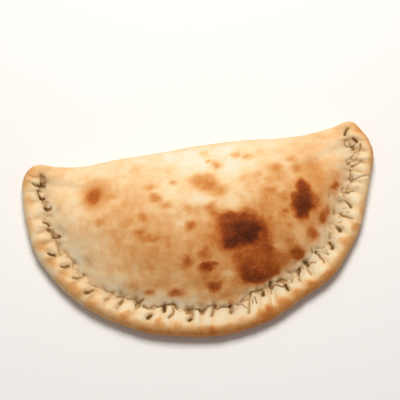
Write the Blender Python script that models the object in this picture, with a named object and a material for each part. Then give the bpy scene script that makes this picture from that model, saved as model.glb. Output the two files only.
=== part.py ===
"""Calzone: a half moon of pizza dough, folded along its back and pleated shut round the front.

Metres, +Z up.  The fold runs along X at the back (+Y), the rolled and pleated rim goes round the
front from tip to tip, and the underside lies flat on Z = 0.  The origin is under the middle of the
piece.  The filling can't be seen, so the piece is one solid of baked dough.
"""

import math

import bmesh
import bpy
import numpy as np

MM = 0.001

# Overall size.
LENGTH = 284.0 * MM
DEPTH = 160.0 * MM
HEIGHT = 45.0 * MM

# The half moon seen from above, in millimetres from the middle of the piece.  The first run goes from
# the left tip round the front to the right tip, the second comes back along the fold.
FRONT_RUN = (
    (-127, 78.4), (-137.6, 72.3), (-142, 56.4), (-140.8, 28.7), (-132.2, -5.6), (-105.3, -40.4),
    (-67, -65.8), (-27, -77.1), (7, -79.9), (41.4, -72.8), (67, -59.9), (90.8, -47.1), (108.3, -28.1),
    (123.4, -5.1), (135.6, 28.9), (142, 51.9), (138.2, 67.9), (128.3, 79.9),
)
FOLD_RUN = (
    (113, 76.4), (98, 74.4), (85, 72.8), (64, 72.9), (37, 75.4), (1, 75), (-29, 73), (-59, 73),
    (-87, 71.1), (-111, 74.2),
)
MIDDLE = np.array((1.0, 11.0))

# The rolled rim, in millimetres.  Its width is given at even steps along the front run, tip to tip.
RIM_WIDTH = (10, 17, 18, 19, 17, 16, 18.5, 19.5, 20, 22, 20, 19.5, 17, 18, 17, 15, 8)
RIM_HEIGHT = 17.0
SEAM_HEIGHT = 10.5
SEAM_TURN = math.radians(168)  # how far the roll is carried over towards the dome

# The folded back edge and the dome, in millimetres.
FOLD_BELLY = 13.0  # height of the furthest back point
FOLD_TUCK = 16.0  # how far the belly stands over the flat underside
FOLD_REACH = 60.0  # how far in from the fold the dome is level
FOLD_ROUNDNESS = 1.9
DOME_REACH = 95.0  # how far in from the seam the dome is level
DOME_ROUNDNESS = 2.2
FOLD_BLEND = 20.0  # length at each tip over which the rim turns into the fold

# Pleats pinched into the rim, in millimetres.
PLEATS = 37
PLEAT_RISE = 1.6
PLEAT_REACH = 1.1
TOOTH_REACH = 1.8

# Facets.
FRONT_COLUMNS = 152
FOLD_COLUMNS = 40
UNDERSIDE_ROWS = 2
RIM_ROWS = 13
DOME_ROWS = 10
CURVE_STEPS = 24

CRUST_COLOUR = (0.83, 0.62, 0.36, 1.0)
CRUST_ROUGHNESS = 0.72


def closed_curve(points):
    """A smooth closed curve through the points (Catmull-Rom), as an array of close-set places."""
    knots = np.array(points, float)[:, None]
    before = np.roll(knots, 1, axis=0)
    after = np.roll(knots, -1, axis=0)
    beyond = np.roll(knots, -2, axis=0)
    step = (np.arange(CURVE_STEPS) / CURVE_STEPS)[None, :, None]
    spans = (
        2 * knots
        + (after - before) * step
        + (2 * before - 5 * knots + 4 * after - beyond) * step**2
        + (3 * knots - before - 3 * after + beyond) * step**3
    )
    return spans.reshape(-1, 2) / 2


def smooth(value):
    """An even S-shaped step from 0 to 1."""
    value = min(max(value, 0.0), 1.0)
    return value * value * (3 - 2 * value)


def still_to_go(distance, reach):
    """1 at the edge and 0 from the reach inwards, falling evenly between."""
    return 1 - min(max(distance / reach, 0.0), 1.0)


class Outline:
    """The half moon as a function of the length along it, which starts at the left tip."""

    def __init__(self):
        places = closed_curve(FRONT_RUN + FOLD_RUN)
        self.ring = np.vstack([places, places[:1]])
        steps = np.linalg.norm(np.diff(self.ring, axis=0), axis=1)
        self.lengths = np.concatenate([[0], np.cumsum(steps)])
        self.around = self.lengths[-1]
        tip = (len(FRONT_RUN) - 1) * CURVE_STEPS
        self.front = self.lengths[tip]
        self.fold_line = self.ring[tip:]
        self.seam_line = np.array([self.inwards(s, self.rim_width(s)) for s in self.lengths[: tip + 1]])

    def at(self, length):
        """The place at a length along the outline."""
        return np.array([np.interp(length, self.lengths, self.ring[:, axis]) for axis in (0, 1)])

    def inwards(self, length, distance):
        """The place that far in from the outline, towards the middle."""
        edge = self.at(length)
        return edge + (MIDDLE - edge) * distance / self.reach(length)

    def reach(self, length):
        """How far the outline is from the middle."""
        return np.linalg.norm(MIDDLE - self.at(length))

    def rim_width(self, length):
        """The width of the rolled rim."""
        return np.interp(length / self.front, np.linspace(0, 1, len(RIM_WIDTH)), RIM_WIDTH)

    def fold_share(self, length):
        """0 along the pleated front, 1 along the fold, and a smooth change at each tip."""
        if length > self.front:
            past_tip = min(length - self.front, self.around - length)
        else:
            past_tip = -min(length, self.front - length)
        return smooth(0.5 + past_tip / FOLD_BLEND)

    def column(self, index):
        """The length at a column of facets: close-set along the front, wider apart along the fold."""
        if index < FRONT_COLUMNS:
            return self.front * index / FRONT_COLUMNS
        return self.front + (self.around - self.front) * (index - FRONT_COLUMNS) / FOLD_COLUMNS


def dome_height(outline, place):
    """The height of the dome.  It climbs from the seam as a slope that eases off towards the top, and
    turns up from the belly of the fold as a superellipse, steep at first and level at the end."""
    from_seam = np.linalg.norm(outline.seam_line - place, axis=1).min()
    from_fold = np.linalg.norm(outline.fold_line - place, axis=1).min()
    over_seam = 1 - still_to_go(from_seam, DOME_REACH) ** DOME_ROUNDNESS
    over_fold = (1 - still_to_go(from_fold, FOLD_REACH) ** FOLD_ROUNDNESS) ** (1 / FOLD_ROUNDNESS)
    foot = SEAM_HEIGHT + (FOLD_BELLY - SEAM_HEIGHT) * over_seam
    return foot + (HEIGHT / MM - foot) * over_seam * over_fold


def pleat_wave(outline, length):
    """-1 in a crease and 1 on a pleat's crest.  The pleats are of uneven width, as fingers leave them."""
    share = length / outline.front
    uneven = 0.35 * math.sin(23 * share) + 0.3 * math.sin(61 * share + 1)
    return math.cos(2 * math.pi * (PLEATS * share + uneven))


def rim_point(outline, length, turn):
    """A point of the rolled rim, whose section is an ellipse: -90 degrees is underneath, 0 is furthest
    out, 90 is the crest and 180 would be back at the dome.  Pleats lift the crest and reach out and in."""
    wave = pleat_wave(outline, length)
    outer = max(math.cos(turn), 0)
    inner = max(-math.cos(turn), 0)
    upper = max(math.sin(turn), 0)
    inward = outline.rim_width(length) / 2 * (1 - math.cos(turn))
    inward += (TOOTH_REACH * inner - PLEAT_REACH * outer * upper) * wave
    height = RIM_HEIGHT / 2 * (1 + math.sin(turn)) + PLEAT_RISE * upper * wave
    return np.append(outline.inwards(length, inward), height)


def fold_point(outline, length, turn):
    """A point of the folded back: -90 degrees is underneath, 0 is furthest back and 90 is the middle."""
    if turn < 0:
        place = outline.inwards(length, FOLD_TUCK * (1 - math.cos(turn)))
        return np.append(place, FOLD_BELLY * (1 + math.sin(turn)))
    place = outline.inwards(length, outline.reach(length) * (1 - math.cos(turn)))
    return np.append(place, dome_height(outline, place))


def dome_place(outline, length, share):
    """A point of the dome seen from above, from the seam (0) to the middle (1)."""
    seam = outline.rim_width(length)
    return outline.inwards(length, seam + (outline.reach(length) - seam) * share)


def underside_point(outline, length, share):
    """A point of the flat underside, from the middle (0) to where the edge lifts off (1)."""
    folded = outline.fold_share(length)
    tuck = outline.rim_width(length) / 2 * (1 - folded) + FOLD_TUCK * folded
    reach = outline.reach(length)
    return np.append(outline.inwards(length, reach + (tuck - reach) * share), 0)


def crust_point(outline, column, row):
    """One point of the crust.  Rows run from the middle of the underside, round the edge and up to the
    top of the dome, where the front's and the fold's points share one height."""
    length = outline.column(column)
    if row < UNDERSIDE_ROWS:
        return underside_point(outline, length, row / UNDERSIDE_ROWS)
    past_underside = row - UNDERSIDE_ROWS
    folded = outline.fold_share(length)
    back = fold_point(outline, length, math.pi * (past_underside / (RIM_ROWS + DOME_ROWS) - 0.5))
    if past_underside < RIM_ROWS:
        turn = -math.pi / 2 + (SEAM_TURN + math.pi / 2) * past_underside / (RIM_ROWS - 1)
        front = rim_point(outline, length, turn)
        return front + (back - front) * folded
    front = dome_place(outline, length, (past_underside - RIM_ROWS + 1) / (DOME_ROWS + 1))
    place = front + (back[:2] - front) * folded
    return np.append(place, dome_height(outline, place))


def crust_mesh(name):
    """A sphere's net of facets drawn over the calzone: its meridians become the columns round the
    outline, and its parallels the rows from the underside to the top."""
    outline = Outline()
    columns = FRONT_COLUMNS + FOLD_COLUMNS
    rows = UNDERSIDE_ROWS + RIM_ROWS + DOME_ROWS
    net = bmesh.new()
    bmesh.ops.create_uvsphere(net, u_segments=columns, v_segments=rows, radius=1.0)
    for vertex in net.verts:
        around = math.atan2(vertex.co.y, vertex.co.x) / (2 * math.pi)
        up = math.asin(min(max(vertex.co.z, -1), 1)) / math.pi + 0.5
        vertex.co = crust_point(outline, round(around * columns) % columns, round(up * rows))
    fit_to_size(net)
    mesh = bpy.data.meshes.new(name)
    net.to_mesh(mesh)
    net.free()
    return mesh


def fit_to_size(net):
    """Brings the net to the overall size, centred over the origin with its underside on Z = 0."""
    places = np.array([vertex.co for vertex in net.verts])
    low = places.min(axis=0)
    high = places.max(axis=0)
    scale = np.array([LENGTH, DEPTH, HEIGHT]) / (high - low)
    centre = np.array([(low[0] + high[0]) / 2, (low[1] + high[1]) / 2, low[2]])
    for vertex in net.verts:
        vertex.co = (np.array(vertex.co) - centre) * scale


def crust_material():
    """Matt baked dough."""
    material = bpy.data.materials.new("baked_crust")
    material.use_nodes = True
    shader = material.node_tree.nodes["Principled BSDF"]
    shader.inputs["Base Color"].default_value = CRUST_COLOUR
    shader.inputs["Roughness"].default_value = CRUST_ROUGHNESS
    shader.inputs["Metallic"].default_value = 0.0
    return material


def clear_scene():
    """Starts from an empty scene."""
    for thing in list(bpy.data.objects):
        bpy.data.objects.remove(thing)


def build():
    """Makes the calzone in a collection of its own."""
    clear_scene()
    collection = bpy.data.collections.new("calzone_parts")
    bpy.context.scene.collection.children.link(collection)
    crust = bpy.data.objects.new("calzone", crust_mesh("calzone"))
    crust.data.materials.append(crust_material())
    crust.data.shade_smooth()
    collection.objects.link(crust)


build()
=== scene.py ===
"""Looks of a baked calzone: its pleated crust, the finish that the oven gave it, with painted shade in its
creases, and a plain studio.
"""

import logging
import math
from dataclasses import dataclass, field
from enum import Enum
from typing import Any

import bpy
import numpy as np
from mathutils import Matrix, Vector


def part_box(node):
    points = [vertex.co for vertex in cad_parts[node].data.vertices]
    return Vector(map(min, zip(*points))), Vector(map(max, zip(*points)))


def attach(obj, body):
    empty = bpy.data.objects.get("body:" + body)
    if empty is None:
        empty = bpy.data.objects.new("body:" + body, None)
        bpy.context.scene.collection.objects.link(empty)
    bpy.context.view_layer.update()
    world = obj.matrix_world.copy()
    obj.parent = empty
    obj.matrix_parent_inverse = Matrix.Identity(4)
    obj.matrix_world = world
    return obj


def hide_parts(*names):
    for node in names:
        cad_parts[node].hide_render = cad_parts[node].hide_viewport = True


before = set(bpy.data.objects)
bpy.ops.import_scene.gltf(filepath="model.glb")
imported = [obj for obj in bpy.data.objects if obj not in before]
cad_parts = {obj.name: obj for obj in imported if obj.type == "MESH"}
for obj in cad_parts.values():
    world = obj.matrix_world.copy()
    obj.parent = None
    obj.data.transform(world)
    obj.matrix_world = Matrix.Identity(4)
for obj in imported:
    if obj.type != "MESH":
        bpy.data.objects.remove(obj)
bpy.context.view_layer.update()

LOG = logging.getLogger("calzone")
MM = 0.001
UNDERNEATH = -math.pi / 2  # the turn of the roll's section under the calzone, in radians
OVERHEAD = math.pi / 2  # its turn at the crest and from there to the middle of the dome
Array = np.ndarray
Place = tuple[float, float]
Step = tuple[float, float]  # where an S-shaped step starts and ends
Stretch = tuple[float, float, float, float]  # where a plateau starts, is whole, is last whole and ends
Colour = tuple[float, ...]

# Socket numbers of a Mix node that mixes colours: its two colours, and its result.
MIX_FIRST, MIX_SECOND, MIX_RESULT = 6, 7, 2
NOISE_MEAN = 0.5


def srgb(red: float, green: float, blue: float) -> Colour:
    """A colour given in display values, as the linear values that shaders use.

    Args:
        red: display red, from 0 to 255.
        green: display green.
        blue: display blue.

    Returns:
        ((value / 255 + 0.055) / 1.055)^2.4 for each of the three, and an alpha of one.
    """
    return (*(((value / 255 + 0.055) / 1.055) ** 2.4 for value in (red, green, blue)), 1.0)


def ease(values: Array, start: float | Array, end: float | Array) -> Array:
    """An S-shaped step: 0 before the start, 1 after the end, and 3t^2 - 2t^3 between.

    Args:
        values: where to work it out.
        start: where the step begins.
        end: where it ends, which may lie before the start for a falling step.

    Returns:
        The step at each value.
    """
    share = np.clip((values - start) / (end - start), 0, 1)
    return share * share * (3 - 2 * share)


def plateau(values: Array, start: float, whole: float, last: float, end: float) -> Array:
    """A step up from the start to whole, times a step down from the last to the end."""
    return ease(values, start, whole) * ease(values, end, last)


def bell(distance: Array, width: float | Array) -> Array:
    """A bell curve, exp(-(distance / width)^2)."""
    return np.exp(-((distance / width) ** 2))


def table(steps: tuple[Place, ...], values: Array) -> Array:
    """What the table of (value, result) pairs gives, running evenly between its steps."""
    given = np.array(steps)
    return np.interp(values, given[:, 0], given[:, 1])


def nearest_distance(places: Array, line: Array, block: int = 8192) -> Array:
    """Distance from each place to a line of short runs.

    The nearest corner is found first, and then the nearer of the two runs that meet in it.

    Args:
        places: an (n, 2) array.
        line: an (m, 2) array of corners.
        block: how many places are measured at a time.

    Returns:
        One distance for each place.
    """
    found = np.empty(len(places))
    for start in range(0, len(places), block):
        part = places[start : start + block]
        gaps = ((part[:, None, :] - line[None, :, :]) ** 2).sum(axis=2)
        corner = gaps.argmin(axis=1)
        best = np.sqrt(gaps[np.arange(len(part)), corner])
        for neighbour in (np.clip(corner - 1, 0, None), np.clip(corner + 1, None, len(line) - 1)):
            run = line[neighbour] - line[corner]
            length = np.maximum((run**2).sum(axis=1), 1e-9)
            share = np.clip(((part - line[corner]) * run).sum(axis=1) / length, 0, 1)
            best = np.minimum(best, np.linalg.norm(part - line[corner] - run * share[:, None], axis=1))
        found[start : start + block] = best
    return found


def overlap(first: Array, second: Array, blend: float | Array) -> Array:
    """How much two heights round off into each other: blend / 4 * (1 - gap / blend)^2, or 0 if far apart."""
    return blend / 4 * np.clip(1 - np.abs(first - second) / blend, 0, 1) ** 2


def rounded_curve(points: tuple[Place, ...], steps: int) -> Array:
    """A smooth closed curve through the points (Catmull-Rom), as close-set places.

    Args:
        points: the corners to pass through.
        steps: places for each span.

    Returns:
        An array of places, the first of them the first point.
    """
    knots = np.array(points, float)[:, None]
    before, after, beyond = (np.roll(knots, shift, axis=0) for shift in (1, -1, -2))
    step = (np.arange(steps) / steps)[None, :, None]
    spans = (
        2 * knots
        + (after - before) * step
        + (2 * before - 5 * knots + 4 * after - beyond) * step**2
        + (3 * knots - before - 3 * after + beyond) * step**3
    )
    return spans.reshape(-1, 2) / 2


@dataclass(frozen=True)
class Lumps:
    """A layer of smooth seeded lumps: gradient noise on a cubic lattice."""

    seed: int  # the same seed gives the same lumps
    size: float  # the distance from lump to lump, in millimetres
    height: float = 1.0  # how far they reach up and down, in the unit of what they change
    cells: int = 256  # how many cells the lattice has before it repeats
    gain: float = 1.6  # what brings the sum of the corners' slopes to about -1 to 1

    def at(self, places: Array) -> Array:
        """The lumps' height: the slopes of the lattice's corners, blended by 6t^5 - 15t^4 + 10t^3.

        Args:
            places: an (n, 3) array, in millimetres.

        Returns:
            One height for each place.
        """
        draw = np.random.default_rng(self.seed)
        order = draw.permutation(self.cells)
        slopes = draw.normal(size=(self.cells, 3))
        slopes /= np.linalg.norm(slopes, axis=1, keepdims=True)
        scaled = places / self.size
        cell = np.floor(scaled).astype(int)
        within = scaled - cell
        blend = within**3 * (within * (within * 6 - 15) + 10)
        total = np.zeros(len(places))
        for corner in range(8):
            step = np.array([corner & 1, corner >> 1 & 1, corner >> 2 & 1])
            column, row, layer = ((cell + step) % self.cells).T
            slot = order[(order[(order[column] + row) % self.cells] + layer) % self.cells]
            rise = (slopes[slot] * (within - step)).sum(axis=1)
            total += rise * np.where(step, blend, 1 - blend).prod(axis=1)
        return self.height * (total * self.gain)


@dataclass
class HalfMoon:
    """The outline seen from above, in millimetres, as a function of the length along it."""

    # From the left tip round the front to the right tip.
    front: tuple[Place, ...] = (
        (-127, 78.4), (-137.6, 72.3), (-142, 56.4), (-140.8, 28.7), (-132.2, -5.6), (-105.3, -40.4),
        (-67, -65.8), (-27, -77.1), (7, -79.9), (41.4, -72.8), (67, -59.9), (90.8, -47.1), (108.3, -28.1),
        (123.4, -5.1), (135.6, 28.9), (142, 51.9), (138.2, 67.9), (128.3, 79.9),
    )
    # Back along the fold, from right to left.
    fold: tuple[Place, ...] = (
        (113, 76.4), (98, 74.4), (85, 72.8), (64, 72.9), (37, 75.4), (1, 75), (-29, 73), (-59, 73),
        (-87, 71.1), (-111, 74.2),
    )
    middle: Place = (1.0, 11.0)  # where the dome is highest
    steps: int = 40  # places for each span of the curve
    tip_blend: float = 28.0  # length at each tip over which the rim turns into the fold

    def __post_init__(self) -> None:
        """Lays the curve out and measures it."""
        places = rounded_curve(self.front + self.fold, self.steps)
        self.ring: Array = np.vstack([places, places[:1]])
        runs = np.linalg.norm(np.diff(self.ring, axis=0), axis=1)
        self.lengths: Array = np.concatenate([[0], np.cumsum(runs)])
        self.around: float = float(self.lengths[-1])
        self.tip: int = (len(self.front) - 1) * self.steps
        self.front_length: float = float(self.lengths[self.tip])

    def edge(self, along: Array) -> Array:
        """The places at the lengths along the outline."""
        return np.stack([np.interp(along, self.lengths, self.ring[:, axis]) for axis in (0, 1)], axis=-1)

    def inward(self, along: Array, distance: Array) -> Array:
        """The places that far in from the outline, on the straight way to the middle.

        Args:
            along: lengths along the outline.
            distance: how far in.

        Returns:
            The places, shaped as the two together.
        """
        edge = self.edge(along)
        way = np.array(self.middle) - edge
        way /= np.linalg.norm(way, axis=-1, keepdims=True)
        return edge + way * np.asarray(distance)[..., None]

    def reach(self, along: Array) -> Array:
        """How far the outline is from the middle."""
        return np.linalg.norm(self.edge(along) - np.array(self.middle), axis=-1)

    def from_tip(self, along: Array) -> Array:
        """How far the nearer tip is along the front, or 0 along the fold."""
        return np.maximum(np.minimum(along, self.front_length - along), 0)

    def past_tip(self, along: Array) -> Array:
        """How far the nearer tip is along the fold, or 0 along the front."""
        return np.maximum(np.minimum(along - self.front_length, self.around - along), 0)

    def folded(self, along: Array) -> Array:
        """0 along the pleated front, 1 along the fold, and a smooth change at each tip."""
        return ease(self.past_tip(along) - self.from_tip(along), -self.tip_blend / 2, self.tip_blend / 2)


@dataclass(frozen=True)
class Crease:
    """One crease, hole or ridge in the rim, along a short bent line."""

    # Its corners, each as a length along the outline and a distance in from it, in millimetres.
    path: tuple[Place, ...]
    halves: Place  # half of its width where it starts and where it ends
    depth: float  # how deep its deepest part goes; a ridge has a negative depth
    shade: float  # how dark the painted shade at its bottom is, from 0 to 1


@dataclass(frozen=True)
class Patch:
    """An uneven patch of the crust that is browner or paler than what is around it."""

    at: Place  # its middle, in millimetres
    size: Place  # its half length and half width
    bake: float  # how brown it is, from 0, floury, to 1, charred
    turn: float = 0.0  # the turn of its length, in degrees
    soft: float = 0.8  # how wide its edge is, as a share of its size


# Each crease of the rim: its path, its half widths, its depth and its painted shade.
CREASES = tuple(Crease(*row) for row in (
    # The left tip and the left side.
    (((14.5, 4), (15.5, 8), (14, 12.5), (12.5, 14)), (0.6, 0.8), 1.6, 0.34),
    (((12.5, 14), (14, 15.5), (18, 17)), (0.9, 1.1), 2.2, 0.54),
    (((18, 17), (21.5, 17), (22, 16), (22.5, 11), (21.5, 9)), (1.4, 0.6), 3.4, 0.95),
    (((21.5, 9), (20.5, 5.5)), (1.6, 1.4), 0.5, 0.2), (((11.5, 12.5), (11, 13)), (0.7, 0.7), 0.8, 0.39),
    (((26, 15), (30, 15), (32.5, 16), (32, 17)), (0.7, 1.3), 3, 0.95),
    (((28, 13), (32, 13.5)), (1.8, 1.8), 0.6, 0.25), (((32, 17), (34, 18)), (0.7, 0.5), 1, 0.34),
    (((34.5, 18), (37, 19), (42.5, 19.5)), (0.9, 1.3), 2.2, 0.59),
    (((42.5, 18.5), (44, 19.5), (42.5, 21.5), (41, 22.5)), (1.3, 0.8), 3.2, 1),
    (((49, 16), (53.5, 16.5)), (0.8, 1.2), 1.2, 0.3), (((53.5, 15), (55.5, 17)), (1.8, 1.8), 0.8, 0.35),
    (((56.5, 13.5), (57, 15.5), (57.5, 17), (59, 17.5)), (0.7, 0.9), 2.6, 0.9),
    (((62.5, 16), (64, 17), (65, 18), (70, 19)), (0.9, 1.5), 2.6, 0.75),
    (((70, 19), (70.5, 20.5), (70, 22)), (1.5, 1), 3, 0.9),
    (((74.5, 20), (78, 20), (82, 19), (84.5, 19)), (1.3, 0.9), 2, 0.49),
    (
        ((84.5, 19), (89, 19.5), (90.5, 21.5), (93.5, 22), (97.5, 22.5), (100.5, 21.5), (105, 18.5)),
        (0.6, 0.8), 1.6, 0.39,
    ),
    (((105, 18.5), (107.5, 20), (109.5, 19.5)), (0.9, 0.9), 1, 0.25),
    (((85.5, 9), (87, 10), (88, 13)), (0.8, 1), 2.8, 1), (((82.5, 9.5), (84, 11.5)), (1.8, 1.8), 0.6, 0.3),
    (((100.5, 11.5), (102, 13), (101.5, 17)), (0.9, 1.1), 2.4, 0.75),
    (((99, 13), (99.5, 16)), (1.8, 1.8), 0.7, 0.25),
    (((114.5, 12), (116.5, 14), (116, 17.5), (115, 19.5)), (1.1, 0.9), 2.2, 0.59),
    (((103, 30.5), (109, 29.5)), (2.2, 2.2), 0.6, 0.2), (((43, 27.5), (45, 26.5)), (1.8, 1.6), 0.5, 0.2),
    (((62, 24.5), (68, 26.5)), (2.4, 2.4), 0.8, 0.18),
    (((124, 16), (128, 17), (132, 18)), (0.6, 0.8), 1.2, 0.34),
    (((133, 8.5), (134, 10), (134, 13), (134, 15.5)), (1.4, 0.7), 2.8, 0.85),
    (((130.5, 10), (131, 13.5)), (2, 2), 0.7, 0.25), (((138.5, 20), (143, 20)), (1.2, 1.2), 1, 0.3),
    # The middle of the front.
    (((149, 11.5), (149, 13.5), (149.5, 15)), (1.1, 1.1), 1.8, 0.39),
    (((146, 20.5), (148, 19.5), (150, 18), (152.5, 17), (153.5, 19), (154.5, 20)), (1, 0.9), 2, 0.22),
    (((153, 23), (155, 21)), (2, 2), 1, 0.4),
    (((158.5, 19.5), (159.5, 18.5), (160.5, 14.5)), (1, 1.1), 2.6, 0.68),
    (((160.5, 14.5), (161.5, 11), (162, 9.5)), (1.1, 1), 1.2, 0.35),
    (
        ((160.5, 20.5), (163, 20.5), (165.5, 22), (168.5, 21.5), (172.5, 19.5), (174, 18.5)),
        (0.6, 1.4), 1.8, 0.4,
    ),
    (((168, 23), (172.5, 20.5)), (2.2, 2), 1, 0.45),
    (((174.5, 19), (174, 21.5), (175, 23.5)), (0.9, 1), 1.8, 0.49),
    (((174, 18), (175, 15)), (1, 0.9), 1.2, 0.34),
    (
        ((178.5, 19.5), (181, 19), (184, 18), (186.5, 19.5), (190, 19.5), (191, 21), (194.5, 22),
         (196.5, 21.5)),
        (0.9, 0.8), 1.8, 0.49,
    ),
    (((190.5, 12.5), (190, 11), (189.5, 9.5)), (1.1, 1.2), 3, 0.95),
    (((198, 21), (199, 19.5), (200, 17.5)), (1.3, 1.1), 3, 0.95),
    (
        ((196.5, 22.5), (199.5, 23.5), (203.5, 24), (207, 23.5), (208, 23), (210.5, 21), (211.5, 20)),
        (0.7, 0.9), 2, 0.59,
    ),
    (((206.5, 22), (208.5, 19), (209, 16), (207.5, 14), (206.5, 12)), (0.9, 0.9), 1.8, 0.56),
    (((215, 17.5), (216.5, 19.5)), (0.9, 0.9), 0.9, 0.3),
    (((218.5, 19), (222, 20), (224.5, 19)), (0.8, 1.2), 2.6, 0.85),
    (((221.5, 17), (223.5, 17)), (1.3, 1.3), 1.8, 0.6), (((219.5, 22.5), (220.5, 20)), (1, 1), 0.9, 0.35),
    (((226, 20), (227, 15.5)), (0.9, 0.9), 1.6, 0.48), (((226.5, 16), (226.5, 13)), (1.6, 1.4), 1.6, 0.46),
    (((226.5, 12), (225, 10.5)), (1.1, 1.1), 3, 0.95),
    (((228.5, 20.5), (232.5, 20.5), (234, 19), (235.5, 18.5)), (0.6, 1.3), 2.4, 0.56),
    (
        ((235.5, 18.5), (237, 19), (240, 21), (241.5, 22.5), (244.5, 22.5), (246.5, 22.5)),
        (1.1, 0.7), 1.8, 0.49,
    ),
    (((234.5, 23), (234.5, 19)), (2, 1.8), 1, 0.1), (((249, 22), (250, 21.5)), (0.9, 0.9), 2.2, 0.85),
    (((250, 21.5), (250.5, 21), (251, 19.5)), (0.8, 0.8), 1.6, 0.54),
    (((247.5, 22), (247.5, 20), (246, 16.5), (245, 14.5)), (1.1, 1.1), 2.2, 0.54),
    (((252.5, 20.5), (254.5, 21), (258, 21), (262, 20.5), (264.5, 20)), (0.8, 0.8), 1.8, 0.98),
    (((264.5, 20), (264.5, 18.5), (263.5, 15)), (1, 1.2), 2.8, 0.78),
    (((271.5, 20), (273.5, 20), (275.5, 19), (277, 16), (279, 14.5)), (0.8, 0.8), 1.5, 0.44),
    (((285, 23), (282, 17), (278, 10)), (0.8, 0.9), 1.8, 0.44),
    (((287.5, 20), (285, 16)), (0.6, 0.6), 0.8, 0.52),
    (((290.5, 20.5), (289.5, 18), (288.5, 15)), (0.7, 0.6), 0.9, 0.62),
    (((275, 21), (278.5, 22), (282.5, 22.5), (286, 23), (289, 24.5), (291, 25)), (0.7, 0.8), 1.8, 0.54),
    (((291, 25), (294, 24.5), (297.5, 24), (300.5, 23.5), (301.5, 22.5)), (0.7, 0.9), 1.8, 0.54),
    (((301.5, 22.5), (300, 21.5), (298.5, 19.5)), (1.1, 1.4), 3, 1),
    (((304.5, 23.5), (306.5, 23), (308.5, 22.5)), (0.6, 0.7), 1.4, 0.44),
    (((313, 24), (311, 22.5), (310, 22)), (1.2, 1.4), 2.4, 0.85),
    (((310, 22), (307, 18.5), (305, 16)), (1.2, 0.6), 2, 0.59),
    (((313, 22), (316, 21), (316.5, 19.5), (317, 17.5), (318.5, 15.5)), (0.7, 0.7), 1.5, 0.78),
    (((322, 17.5), (321, 15.5), (319.5, 13), (319, 11)), (1.2, 0.9), 3.2, 1),
    (((319, 11), (318, 9)), (0.6, 0.5), 0.8, 0.3),
    (((325, 16), (326.5, 19), (323.5, 21), (320.5, 22), (318.5, 22)), (0.6, 1), 1.8, 0.59),
    # The right side and the right tip.
    (((334, 24.5), (335.5, 23)), (1.1, 1.1), 0.9, 0.34),
    (((336.5, 20), (334, 20), (330, 18), (327, 15.5)), (0.7, 0.8), 1.5, 0.39),
    (((345, 22.5), (341.5, 21), (339, 20)), (0.8, 1), 2.2, 0.9),
    (((339, 20), (335, 16), (332.5, 12.5)), (0.9, 0.8), 1.8, 0.44),
    (((346, 22), (348.5, 22.5)), (0.9, 0.9), 1.4, 0.44),
    (((353, 22.5), (353, 22), (352.5, 21.5)), (1.4, 1.4), 3, 0.8),
    (((353, 22), (355.5, 20.5), (356, 18.5), (356.5, 17)), (0.8, 0.6), 2, 0.6),
    (((351.5, 21.5), (347, 18), (345.5, 15), (344, 12)), (0.9, 0.8), 1.8, 0.44),
    (((368, 25.5), (365.5, 24)), (0.9, 0.9), 1.4, 0.44),
    (((367.5, 21.5), (367, 20.5), (364, 18), (362.5, 16), (361.5, 13.5), (359, 11)), (1, 0.6), 2.2, 0.7),
    (((370.5, 24), (372.5, 21.5), (374, 19.5), (376, 19)), (0.6, 0.7), 1.4, 0.39),
    (((368, 17), (369.5, 16), (371, 15)), (0.8, 0.8), 1.3, 0.39),
    (((368, 14.5), (367.5, 12.5)), (1, 1), 1.3, 0.44),
    (((380.5, 17.5), (378.5, 16), (376.5, 13.5), (374.5, 12.5)), (0.7, 1.3), 3, 0.95),
    (((390, 20.5), (387, 20), (385, 19)), (1, 1.1), 1.6, 0.44),
    (((397, 23), (395, 21.5)), (0.9, 0.9), 1, 0.35),
    (((397, 19.5), (395.5, 17.5), (393, 14.5)), (0.7, 1.4), 3, 0.95),
    (((393, 14.5), (391.5, 12)), (1.3, 0.6), 2, 0.7), (((401.5, 16), (400.5, 17.5)), (1, 1), 0.9, 0.35),
    (((409, 20.5), (406, 19.5)), (0.8, 0.8), 0.8, 0.3),
    (((411, 20), (408, 17.5), (407, 14.5), (405.5, 11.5), (404.5, 9), (404, 8)), (0.9, 0.6), 2, 0.59),
    (((413, 24.5), (411, 24)), (1.2, 1.2), 1, 0.4), (((410, 14), (410.5, 13)), (1, 1), 0.8, 0.3),
    (((415, 18.5), (415, 16), (414.5, 14)), (0.8, 0.8), 0.9, 0.3),
    (((423, 18.5), (420, 15.5), (417, 13), (415.5, 12)), (0.6, 1.1), 2.4, 0.85),
    (((423, 21.5), (424, 21.5)), (1.2, 1.2), 0.9, 0.4),
    (((435.5, 22), (433, 21.5), (428, 20)), (0.8, 0.8), 1.3, 0.44),
    (((432.5, 20), (430, 17), (431.5, 16), (431, 13.5), (430, 11.5)), (1.2, 0.5), 2.2, 0.74),
    (((434, 18.5), (435, 19.5)), (1.6, 1.6), 1, 0.4),
    (((432.5, 10.5), (432.5, 9.5)), (1.6, 1.6), 0.5, 0.22),
    (((432, 33.5), (428, 32.5)), (0.9, 0.9), 0.6, 0.34),
    (((446.5, 17), (443, 16.5), (442, 14), (442, 11), (442.5, 8), (442.5, 4)), (0.8, 0.6), 1.6, 0.44),
    (((454, 20.5), (448, 18.5), (446, 19), (443, 18), (441, 16.5), (442, 15.5)), (0.6, 0.8), 1.6, 0.59),
    (((456.5, 19), (456, 17), (456, 14.5), (457, 12), (457.5, 10.5)), (1.1, 0.5), 2, 0.59),
    (((460, 18), (460.5, 18)), (0.9, 0.9), 1, 0.34), (((461, 22), (462, 22)), (1.3, 1.3), 1.6, 0.7),
    (((463, 19.5), (461, 17), (461.5, 15.5)), (0.7, 0.7), 1.2, 0.34),
    (((465, 13.5), (464.5, 15)), (1.6, 1.6), 0.6, 0.25),
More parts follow.
